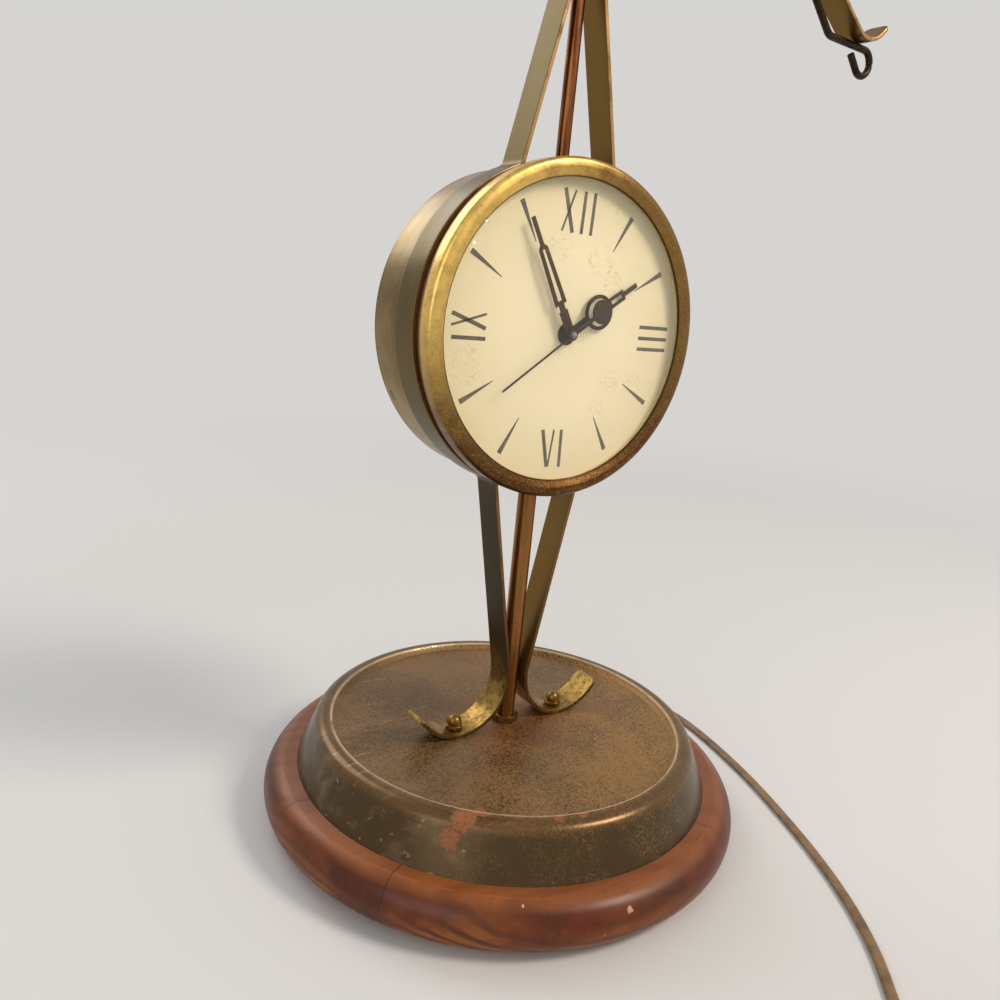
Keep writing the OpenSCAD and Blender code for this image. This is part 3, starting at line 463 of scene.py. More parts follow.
def at(place: Sequence[float], turn: float = 0.0, axis: str = "Z") -> Matrix:
    """Turns a piece about an axis and then moves it.

    Args:
        place: Where it goes, in millimetres.
        turn: Its turn in radians.
        axis: Name of the axis.

    Returns:
        The matrix.
    """
    return Matrix.Translation(scaled(place)) @ Matrix.Rotation(turn, 4, axis)


def placed(piece: Piece, matrix: Matrix) -> Piece:
    """Moves and turns a piece and applies it, so that its object stays at the origin.

    Args:
        piece: The piece.
        matrix: Where it goes.

    Returns:
        The piece.
    """
    only(piece)
    piece.matrix_world = matrix
    applied()
    return tidy(piece) if matrix.to_3x3().determinant() < 0 else piece


def copied(piece: Piece, name: str) -> Piece:
    """Copies a piece with its mesh.

    Args:
        piece: The mesh object.
        name: Name of the copy and its mesh.

    Returns:
        The copy.
    """
    twin = piece.copy()
    twin.data = piece.data.copy()
    twin.name = twin.data.name = name
    bpy.context.collection.objects.link(twin)
    return twin


def joined(name: str, pieces: Sequence[Piece]) -> Piece:
    """Joins pieces into one.

    Args:
        name: Name of the whole.
        pieces: The pieces, of which the first stays.

    Returns:
        The whole.
    """
    start()
    for piece in pieces:
        piece.select_set(True)
    bpy.context.view_layer.objects.active = pieces[0]
    if len(pieces) > 1:
        bpy.ops.object.join()
    pieces[0].name = pieces[0].data.name = name
    return pieces[0]


def drawn_tube(name: str, line: Sequence[Vector], section: Sequence[Point2]) -> Piece:
    """A bar of any section along a line, its section kept level.

    Args:
        name: Name of the piece.
        line: Points in metres.
        section: Points across and up the section in millimetres, closed by itself.

    Returns:
        The piece as a mesh.
    """
    start()
    curves = []
    ring = [Vector((*p, 0)) * MM for p in section]
    for label, points, closed in ((name, line, False), (name + "_section", ring, True)):
        curve = bpy.data.curves.new(label, "CURVE")
        curve.dimensions = "3D" if not closed else "2D"
        run = curve.splines.new("POLY")
        run.points.add(len(points) - 1)
        for dot, p in zip(run.points, points):
            dot.co = (*p, 1)
        run.use_cyclic_u = closed
        curves.append(added(label, curve))
    piece, profile = curves
    piece.data.twist_mode = "Z_UP"
    piece.data.bevel_mode = "OBJECT"
    piece.data.bevel_object = profile
    piece.data.use_fill_caps = True
    only(piece)
    bpy.ops.object.convert(target="MESH")
    piece = bpy.context.object
    piece.name = piece.data.name = name
    bpy.data.objects.remove(profile, do_unlink=True)
    return tidy(piece, 50.0)


# Finishes


def linear(code: str) -> tuple[float, float, float, float]:
    """Turns an sRGB hex colour to linear light.

    Args:
        code: Six hex digits after a hash.

    Returns:
        Red, green, blue and 1.
    """
    parts = [int(code[i:i + 2], 16) / 255 for i in (1, 3, 5)]
    lit = [c / 12.92 if c <= 0.04045 else ((c + 0.055) / 1.055) ** 2.4 for c in parts]
    return (lit[0], lit[1], lit[2], 1.0)


def per_mm(size: float) -> float:
    """Scale of a texture whose features are that many millimetres wide."""
    return 1000.0 / size


@dataclass
class Skin:
    """A node tree while it is laid, with the place on the object, and the patterns that finishes share."""

    tree: bpy.types.NodeTree
    where: Socket | None = None

    @classmethod
    def bare(cls, owner: bpy.types.Material | bpy.types.World) -> "Skin":
        """Turns on a material's or a world's nodes and clears them.

        Args:
            owner: The material or world.

        Returns:
            Its empty skin.
        """
        owner.use_nodes = True
        owner.node_tree.nodes.clear()
        return cls(owner.node_tree)

    def put(self, kind: str, inputs: dict | None = None, out: str | None = None,
            **settings: object) -> Socket:
        """Adds one node. A texture or mapping that is given no vector takes the place on the object.

        Args:
            kind: The node's type after "ShaderNode".
            inputs: Socket name or number to a value, a hex colour or another node's output.
            out: Name of the output that is wanted, or the first that is in use.
            **settings: The node's own properties.

        Returns:
            The output socket.
        """
        node = self.tree.nodes.new("ShaderNode" + kind)
        for key, value in settings.items():
            setattr(node, key, value)
        given = dict(inputs or {})
        if kind in ("TexNoise", "TexWave", "Mapping"):
            given.setdefault("Vector", self.where)
        for key, value in given.items():
            if isinstance(value, Socket):
                self.tree.links.new(value, node.inputs[key])
            else:
                node.inputs[key].default_value = linear(value) if isinstance(value, str) else value
        if not node.outputs:
            return None
        return node.outputs[out] if out else next(o for o in node.outputs if o.enabled)

    def folded(self, how: str, first: Socket, *rest: Socket | float) -> Socket:
        """One mask made of a whole row of them, such as their product or the largest of them.

        Args:
            how: Name of the operation between one mask and the next.
            first: The first mask.
            *rest: The others, and shares.

        Returns:
            The mask.
        """
        for value in rest:
            first = self.put("Math", {0: first, 1: value}, operation=how)
        return first

    def tinted(self, colour: Socket | str, *layers: tuple) -> Socket:
        """A colour with a stack of others laid over it in turn.

        Args:
            colour: The lowest colour.
            *layers: Each a colour, then the masks and shares whose product says how much of it shows.

        Returns:
            The colour.
        """
        for tint, *masks in layers:
            share = self.folded("MULTIPLY", *masks)
            colour = self.put("Mix", {0: share, 6: colour, 7: tint}, data_type="RGBA")
        return colour

    def cloud(self, size: float, low: float, high: float, stretch: Point3 = (1.0, 1.0, 1.0),
              base: Socket | None = None) -> Socket:
        """A mask of ragged patches.

        Args:
            size: Width of a patch in millimetres.
            low: Noise level at which the mask starts.
            high: Noise level at which it is full.
            stretch: Scale along each axis, small along the one in which patches are long.
            base: Place on the object, where it isn't the skin's own.

        Returns:
            The mask.
        """
        drawn = self.put("Mapping", {"Vector": self.where if base is None else base, "Scale": stretch})
        noise = self.put("TexNoise", {"Vector": drawn, "Scale": per_mm(size), "Detail": 6.0,
                                      "Roughness": 0.62})
        return self.put("MapRange", {0: noise, 1: low, 2: high})

    def spot(self, centre: Sequence[float], radius: float, ragged: float = 0.5) -> Socket:
        """A mask of one ragged spot.

        Args:
            centre: Its middle in millimetres.
            radius: Its radius in millimetres.
            ragged: How far its edge wanders, as a share of the radius.

        Returns:
            The mask.
        """
        r = radius * MM
        away = self.put("VectorMath", {0: self.where, 1: scaled(centre)}, "Value", operation="DISTANCE")
        noise = self.put("TexNoise", {"Scale": per_mm(radius * 0.6), "Detail": 7.0, "Roughness": 0.7})
        wandering = self.put("Math", {0: noise, 1: 2 * ragged * r, 2: away}, operation="MULTIPLY_ADD")
        return self.put("MapRange", {0: wandering, 1: r * (1.0 + ragged), 2: r * (0.8 + ragged)})

    def spots(self, places: Sequence[Sequence[float]], ragged: float) -> Socket:
        """A mask of several ragged spots.

        Args:
            places: Middle and radius of each in millimetres.
            ragged: How far their edges wander, as a share of the radius.

        Returns:
            The mask.
        """
        return self.folded("MAXIMUM", *(self.spot(centre, r, ragged) for *centre, r in places))

    def toward(self, way: Point3, low: float, high: float, centre: Sequence[float] = (0, 0, 0)) -> Socket:
        """A mask that grows in one direction.

        Args:
            way: The direction.
            low: Millimetres along it at which the mask starts.
            high: Millimetres along it at which it is full.
            centre: Where the run is counted from, in millimetres.

        Returns:
            The mask.
        """
        off = self.put("VectorMath", {0: self.where, 1: scaled(centre)}, operation="SUBTRACT")
        run = self.put("VectorMath", {0: off, 1: way}, "Value", operation="DOT_PRODUCT")
        return self.put("MapRange", {0: run, 1: low * MM, 2: high * MM})

    def around(self, keep: Point3, height: float = 0.0) -> Socket:
        """Distance in metres from an axis through the column.

        Args:
            keep: 0 along the axis and 1 across it.
            height: Height of a point of the axis in millimetres.

        Returns:
            The distance.
        """
        off = self.put("VectorMath", {0: self.where, 1: (0, 0, height * MM)}, operation="SUBTRACT")
        flat = self.put("VectorMath", {0: off, 1: keep}, operation="MULTIPLY")
        return self.put("VectorMath", {0: flat}, "Value", operation="LENGTH")

    def line(self, value: Socket, level: float, width: float) -> Socket:
        """A mask of a thin line where a distance has one value.

        Args:
            value: The distance in metres.
            level: The value in millimetres.
            width: The line's width in millimetres.

        Returns:
            The mask.
        """
        off = self.put("Math", {0: value, 1: level * MM}, operation="SUBTRACT")
        near = self.put("Math", {0: off}, operation="ABSOLUTE")
        return self.put("MapRange", {0: near, 1: 0.6 * width * MM, 2: 0.35 * width * MM})

    def close(self, colour: Socket, rough: Socket, height: Socket, depth: float, **sockets: float) -> None:
        """Ends the tree with bump, shader and output.

        Args:
            colour: The colour.
            rough: The roughness.
            height: The height for the bump.
            depth: Its depth in millimetres.
            **sockets: Other shader sockets, with underscores for spaces.
        """
        bump = self.put("Bump", {"Strength": 1.0, "Distance": depth * MM, "Height": height})
        more = {key.replace("_", " "): value for key, value in sockets.items()}
        given = {"Base Color": colour, "Roughness": rough, "Normal": bump, **more}
        self.put("OutputMaterial", {"Surface": self.put("BsdfPrincipled", given)})


@dataclass(frozen=True)
class Finish:
    """A surface: its common name and how it is laid on in nodes."""

    name: str

    def make(self) -> bpy.types.Material:
        """Builds the material the first time it is asked for.

        Returns:
            The material.
        """
        material = bpy.data.materials.get(self.name)
        if material is None:
            material = bpy.data.materials.new(self.name)
            skin = Skin.bare(material)
            skin.where = skin.put("TexCoord", out="Object")
            self.lay(skin)
        return material

    def lay(self, skin: Skin) -> None:
        """Adds the shader's nodes to the skin."""
        raise NotImplementedError


@dataclass(frozen=True)
class AgedMetal(Finish):
    """Metal mottled by age, with fine specks and a soft grain, which gives a quiet, used gloss."""

    base: str = "#8a7040"
    mottle: str = "#6a5230"
    speck: str = "#4a3820"
    mottle_mm: float = 9.0
    speck_mm: float = 0.7
    speck_share: float = 0.5
    metallic: float = 0.9
    rough: Point2 = (0.32, 0.5)
    bump_mm: float = 0.01
    stretch: Point3 = (1.0, 1.0, 1.0)

    def lay(self, skin: Skin) -> None:
        """Lays mottle and specks.

        Args:
            skin: The material's skin.
        """
        cloudy = skin.cloud(self.mottle_mm, 0.36, 0.66, self.stretch)
        grit = skin.put("TexNoise", {"Scale": per_mm(self.speck_mm), "Detail": 3.0, "Roughness": 0.7})
        gritty = skin.put("MapRange", {0: grit, 1: 0.56, 2: 0.7, 4: self.speck_share})
        colour = skin.tinted(self.base, (self.mottle, cloudy), (self.speck, gritty))
        rough = skin.put("MapRange", {0: cloudy, 3: self.rough[0], 4: self.rough[1]})
        skin.close(colour, rough, grit, self.bump_mm, Metallic=self.metallic)


@dataclass(frozen=True)
class PressedPan(Finish):
    """Pressed steel under bronze lacquer: a satin olive side, and a field gone dusty, scuffed and rusty, with
    a painted highlight round its ring.
    """

    side: str = "#4b381b"
    side_fleck: str = "#826647"
    field: str = "#5f4524"
    dust: str = "#ad8145"
    dull_dust: str = "#8f6c42"
    smudge: str = "#937559"
    # Bare steel of the scuffs, also used for the painted highlight along the ring's bead.
    bare: str = "#c4aa84"
    rust: str = "#804c2b"
    rust_light: str = "#a26840"
    field_top: float = 50.1
    ring_r: float = 93.7
    halo: tuple[float, ...] = (0.0, -4.0, 47.0, 34.0)
    rust_spots: tuple[tuple[float, ...], ...] = (
        (-70.0, -69.0, 48.0, 6.2), (-79.0, -71.5, 42.0, 5.6), (-61.0, -68.5, 50.0, 6.0),
        (-21.0, -92.0, 50.0, 3.2), (-33.0, -90.0, 50.0, 2.6), (-84.0, 28.0, 50.0, 3.0),
        (-88.0, 12.0, 49.0, 2.5))

    def lay(self, skin: Skin) -> None:
        """Lays lacquer, dust, smudges, rust, bare scuffs, and a painted highlight along the ring's bead.

        Args:
            skin: The material's skin.
        """
        radius = skin.around((1, 1, 0))
        top = skin.toward((0, 0, 1), -5.5, -2.0, (0, 0, self.field_top))
        right = skin.toward((0.8, -0.6, 0), -30.0, 70.0, (-20, -20, 0))
        left = skin.toward((-0.9, 0.3, 0), 10.0, 90.0)
        grit = skin.put("TexNoise", {"Scale": per_mm(1.2), "Detail": 4.0, "Roughness": 0.8})
        patchy = skin.cloud(52.0, 0.38, 0.63)
        lifted = skin.put("Math", {0: patchy, 1: 0.12, 2: grit}, operation="MULTIPLY_ADD")
        lifted = skin.put("Math", {0: right, 1: 0.02, 2: lifted}, operation="MULTIPLY_ADD")
        fleck = skin.put("MapRange", {0: lifted, 1: 0.46, 2: 0.66})
        inside = skin.put("MapRange", {0: radius, 1: (self.ring_r + 2.5) * MM, 2: (self.ring_r - 1.0) * MM,
                                       3: 0.12})
        dusty = skin.folded("MULTIPLY", fleck, top, inside)
        speckle = skin.put("MapRange", {0: grit, 1: 0.5, 2: 0.6, 4: 0.85})
        speckled = skin.put("MapRange", {0: grit, 1: 0.4, 2: 0.55})
        halo = skin.folded("MULTIPLY", skin.spots((self.halo,), 0.4), speckled, 0.6)
        rusty = skin.put("Math", {0: halo, 1: skin.spots(self.rust_spots, 0.7)}, operation="MAXIMUM")
        crust = skin.put("TexNoise", {"Scale": per_mm(1.1), "Detail": 4.0, "Roughness": 0.7})
        crust = skin.put("MapRange", {0: crust, 1: 0.4, 2: 0.66})
        # Painted highlight: a pale line along the ring's bead, in the bare colour. The rubbed streaks on the
        # left are real bare scuffs.
        ring = skin.folded("MULTIPLY", skin.line(radius, self.ring_r, 1.3), top, skin.cloud(18.0, 0.22, 0.48))
        scuffed = skin.folded("MULTIPLY", skin.cloud(3.0, 0.62, 0.7, (0.12, 1.0, 1.0)), left, 0.6)
        bare = skin.put("Math", {0: ring, 1: scuffed}, operation="MAXIMUM")
        dust = skin.put("Mix", {0: right, 6: self.dull_dust, 7: self.dust}, data_type="RGBA")
        rust = skin.put("Mix", {0: crust, 6: self.rust, 7: self.rust_light}, data_type="RGBA")
        colour = skin.tinted(
            self.side, (self.field, top), (self.side_fleck, speckle, skin.cloud(22.0, 0.44, 0.56), right),
            (dust, dusty), (self.smudge, skin.cloud(15.0, 0.5, 0.72, (0.5, 1.0, 1.0)), left, 0.5),
            (rust, rusty), (self.bare, bare))
        dull = skin.put("Math", {0: dusty, 1: rusty}, operation="MAXIMUM")
        rough = skin.put("MapRange", {0: dull, 3: 0.26, 4: 0.7})
        metal = skin.put("MapRange", {0: dull, 3: 0.6, 4: 0.2})
        height = skin.put("Math", {0: rusty, 1: 2.0, 2: grit}, operation="MULTIPLY_ADD")
        skin.close(colour, rough, height, 0.03, Metallic=metal)


@dataclass(frozen=True)
class StrapBrass(Finish):
    """Rolled brass strip under old lacquer: brown-olive faces, bright edges that are partly rubbed brass and
    partly a painted highlight, gold and spotted feet, and painted shade low on the left strap's outer face.
    """

    outer: str = "#56481c"
    inner: str = "#785a29"
    light: str = "#7a6133"
    # Bright edge colour: partly rubbed brass, partly a painted highlight.
    edge: str = "#b8905f"
    low_edge: str = "#5d4228"
    gold: str = "#a08040"
    spotty: str = "#3a2b17"
    # Painted shade on the left strap's outer face, low down.
    dark: str = "#2f2410"
    foot_top: float = 96.0
    foot_low: float = 62.0

    def lay(self, skin: Skin) -> None:
        """Lays faces, tarnish, golden feet, edges that are partly rubbed and partly a painted highlight, and
        painted shade low on the left strap's outer face.

        Args:
            skin: The material's skin.
        """
        normal = skin.put("SeparateXYZ", {0: skin.put("TexCoord", out="Normal")}).node.outputs
        across = skin.put("Math", {0: normal[1]}, operation="ABSOLUTE")
        rim = skin.put("MapRange", {0: across, 1: 0.35, 2: 0.8})
        side = skin.put("Math", {0: skin.put("SeparateXYZ", {0: skin.where}, "X")}, operation="SIGN")
        outward = skin.put("Math", {0: side, 1: normal[0]}, operation="MULTIPLY")
        outward = skin.put("MapRange", {0: outward, 1: -0.3, 2: 0.3})
        soft = skin.cloud(22.0, 0.42, 0.66, (1.0, 1.0, 0.3))
        grit = skin.put("TexNoise", {"Scale": per_mm(0.8), "Detail": 4.0, "Roughness": 0.75})
        flecks = skin.put("MapRange", {0: grit, 1: 0.6, 2: 0.72, 4: 0.6})
        pale = skin.put("Math", {0: soft, 1: 0.55}, operation="MULTIPLY")
        pale = skin.put("Math", {0: pale, 1: flecks}, operation="MAXIMUM")
        # Painted shade: the left strap's outer face is darkened towards its foot.
        shadow = skin.toward((-0.2, 0, -1), 0.0, 40.0, (0, 0, 205))
        leftward = skin.toward((-1, 0, 0), 4.0, 6.0)
        foot = skin.toward((0, 0, 1), self.foot_top, self.foot_low)
        spots = skin.cloud(1.6, 0.55, 0.66)
        gilt = skin.tinted(self.gold, (self.inner, skin.cloud(5.0, 0.42, 0.6)), (self.spotty, spots))
        # The edge faces are painted brighter higher up, partly rubbed brass and partly a painted highlight,
        # and darker towards the feet.
        edge = skin.tinted(self.low_edge, (self.edge, skin.toward((0, 0, 1), 90.0, 340.0)),
                           (self.gold, spots, foot))
        colour = skin.tinted(self.inner, (self.outer, outward), (self.light, pale),
                             (self.dark, shadow, leftward, outward, 0.85), (gilt, foot),
                             (edge, rim, skin.cloud(14.0, 0.3, 0.5)))
        rough = skin.put("MapRange", {0: soft, 3: 0.3, 4: 0.44})
        skin.close(colour, rough, grit, 0.012, Metallic=0.88)


@dataclass(frozen=True)
class ColumnCopper(Finish):
    """Copper-plated steel gone golden brown low down, with drawn streaks along it and a warm gloss."""

    base: str = "#6c3d20"
    light: str = "#a3653a"
    low: str = "#80602f"
    speck: str = "#3b2412"
    turn_mm: float = 250.0

    def lay(self, skin: Skin) -> None:
        """Lays streaks and specks.

        Args:
            skin: The material's skin.
        """
        streak = skin.cloud(1.6, 0.42, 0.64, (1.0, 1.0, 0.06))
        under = skin.toward((0, 0, -1), 20.0, 110.0, (0, 0, self.turn_mm))
        grit = skin.put("TexNoise", {"Scale": per_mm(0.7), "Detail": 3.0})
        dark = skin.put("MapRange", {0: grit, 1: 0.6, 2: 0.7, 4: 0.5})
        colour = skin.tinted(self.base, (self.low, under), (self.light, streak), (self.speck, dark))
        rough = skin.put("MapRange", {0: streak, 3: 0.24, 4: 0.38})
        skin.close(colour, rough, grit, 0.006, Metallic=0.9)


@dataclass(frozen=True)
class BezelBrass(Finish):
    """Spun and polished brass: a painted highlight of bright gold at the upper left, orange-brown patina
    below, deepened there by painted shade, finely pitted.
    """

    mid: str = "#8f6b34"
    # Painted highlight at the upper left.
    bright: str = "#f6cd70"
    # Orange-brown patina, deepened by painted shade where it is laid from below; also the colour of the brown
    # specks.
    patina_and_shade: str = "#523010"
    dusky: str = "#7f5f33"
    pit: str = "#e3cb95"
    copper: str = "#7a3d22"
    seam: str = "#33230f"
    dial_z: float = 257.7
    rear_y: float = -15.6
    glass_r: float = 70.2

    def lay(self, skin: Skin) -> None:
        """Lays blotches, tints from four sides (a painted highlight at the upper left, a dusky right, and
        patina below, deepened there by painted shade), pits, and darker inner and rear edges.

        Args:
            skin: The material's skin.
        """
        cloudy = skin.cloud(12.0, 0.38, 0.66)
        stains = skin.cloud(3.2, 0.5, 0.68)
        blotch = skin.put("Math", {0: stains, 1: 0.6, 2: cloudy}, operation="MULTIPLY_ADD", use_clamp=True)
        layers = [(self.dusky, blotch)]
        # From four sides: the bright gold at the upper left is a painted highlight, and the two tints from
        # below are patina deepened by painted shade.
        for way, low, high, tint in (((-0.89, 0, 0.45), 12.0, 66.0, self.bright),
                                     ((0.95, 0, -0.3), 20.0, 80.0, self.dusky),
                                     ((-0.4, 0, -0.92), 20.0, 70.0, self.patina_and_shade),
                                     ((0.35, 0, -0.94), 22.0, 66.0, self.patina_and_shade)):
            reach = skin.toward(way, low, high, (0, 0, self.dial_z))
            ragged = skin.put("Math", {0: cloudy, 1: 0.5, 2: reach}, operation="MULTIPLY_ADD")
            share = skin.put("MapRange", {0: ragged, 1: 0.3, 2: 1.25, 4: 0.9})
            layers.append((tint, skin.put("Math", {0: share, 1: reach}, operation="MINIMUM")))
        grit = skin.put("TexNoise", {"Scale": per_mm(0.55), "Detail": 3.0, "Roughness": 0.7})
        pits = skin.put("MapRange", {0: grit, 1: 0.6, 2: 0.68, 4: 0.7})
        brown = skin.put("MapRange", {0: grit, 1: 0.4, 2: 0.3, 4: 0.5})
        rear = skin.toward((0, 1, 0), -1.0, 0.4, (0, self.rear_y, 0))
        inner = skin.put("MapRange", {0: skin.around((1, 0, 1), self.dial_z), 1: (self.glass_r + 0.9) * MM,
                                      2: (self.glass_r + 0.4) * MM, 4: 0.8})
        layers += [(self.dusky, stains, 0.3), (self.pit, pits), (self.patina_and_shade, brown), (self.copper, rear),
                   (self.seam, inner)]
        rough = skin.put("MapRange", {0: cloudy, 3: 0.27, 4: 0.4})
        skin.close(skin.tinted(self.mid, *layers), rough, grit, 0.008, Metallic=0.9)


@dataclass(frozen=True)
class DrumBrass(Finish):
    """Drawn brass sheet under old lacquer, golden olive, with soft bands round it and a few rust points."""

    base: str = "#776034"
    light: str = "#957a46"
    dark: str = "#4c3c1b"
    rust: str = "#6a3c22"

    def lay(self, skin: Skin) -> None:
        """Lays bands, shade, grit and rust points.

        Args:
            skin: The material's skin.
        """
        soft = skin.cloud(40.0, 0.4, 0.66)
        grit = skin.put("TexNoise", {"Scale": per_mm(0.7), "Detail": 3.0, "Roughness": 0.7})
        gritty = skin.put("MapRange", {0: grit, 1: 0.6, 2: 0.7, 4: 0.45})
        colour = skin.tinted(self.base, (self.light, skin.cloud(16.0, 0.4, 0.62, (0.05, 1.0, 0.05))),
                             (self.dark, soft, 0.6), (self.dark, gritty),
                             (self.rust, skin.cloud(7.0, 0.72, 0.76)))
        rough = skin.put("MapRange", {0: soft, 3: 0.28, 4: 0.42})
        skin.close(colour, rough, grit, 0.006, Metallic=0.75)


@dataclass(frozen=True)
class DialEnamel(Finish):
    """Cream enamel, darker and a little yellower towards its rim as painted shade under the bezel, with faint
    looped water stains and fly specks.
    """

    cream: str = "#e7d9b8"
    # Painted shade towards the rim, under the bezel.
    rim: str = "#d9caa3"
    stain: str = "#b9a372"
    fleck: str = "#85724c"
    dial_z: float = 257.7
    face_y: float = -16.6
    stains: tuple[Point3, ...] = (
        (16.5, 34.8, 9.0), (25.7, 25.3, 7.0), (-54.9, -17.2, 10.0), (29.4, -21.4, 8.0), (24.8, -34.0, 6.0),
        (46.2, -23.6, 7.0), (-8.7, 39.1, 8.0), (27.9, 58.0, 8.0))

    def lay(self, skin: Skin) -> None:
        """Lays painted shade towards the rim, looped stains and specks.

        Args:
            skin: The material's skin.
        """
        # Painted shade: the enamel darkens from the middle out to the rim, under the bezel.
        outer = skin.put("MapRange", {0: skin.around((1, 0, 1), self.dial_z), 1: 0.035, 2: 0.074})
        near = skin.spots([(u, self.face_y, self.dial_z + v, r) for u, v, r in self.stains], 0.3)
        drift = skin.put("TexNoise", {"Scale": per_mm(5.0), "Detail": 1.0, "Distortion": 1.2})
        level = skin.put("Math", {0: drift, 1: 0.5}, operation="SUBTRACT")
        level = skin.put("Math", {0: level}, operation="ABSOLUTE")
        loop = skin.put("MapRange", {0: level, 1: 0.026, 2: 0.008, 4: 0.42})
        grains = skin.put("TexNoise", {"Scale": per_mm(0.9), "Detail": 2.0})
        dots = skin.put("MapRange", {0: grains, 1: 0.74, 2: 0.8, 4: 0.8})
        colour = skin.tinted(self.cream, (self.rim, outer), (self.stain, loop, near), (self.fleck, dots))
        rough = skin.put("MapRange", {0: near, 3: 0.5, 4: 0.65})
        skin.close(colour, rough, grains, 0.003)


@dataclass(frozen=True)
class Moulded(Finish):
    """Plastic, rubber, fibre or ink of one colour with a faint cloud and grain."""

    base: str = "#222222"
    cloud_tone: str = "#2c2a28"
    grain_mm: float = 0.6
    rough: Point2 = (0.35, 0.5)
    bump_mm: float = 0.01
    coat: float = 0.0

    def lay(self, skin: Skin) -> None:
        """Lays cloud and grain.

        Args:
            skin: The material's skin.
        """
        cloudy = skin.cloud(self.grain_mm * 9, 0.38, 0.62)
        grain = skin.put("TexNoise", {"Scale": per_mm(self.grain_mm), "Detail": 2.0})
        rough = skin.put("MapRange", {0: cloudy, 3: self.rough[0], 4: self.rough[1]})
        colour = skin.put("Mix", {0: cloudy, 6: self.base, 7: self.cloud_tone}, data_type="RGBA")
        skin.close(colour, rough, grain, self.bump_mm, Coat_Weight=self.coat, Coat_Roughness=0.15)


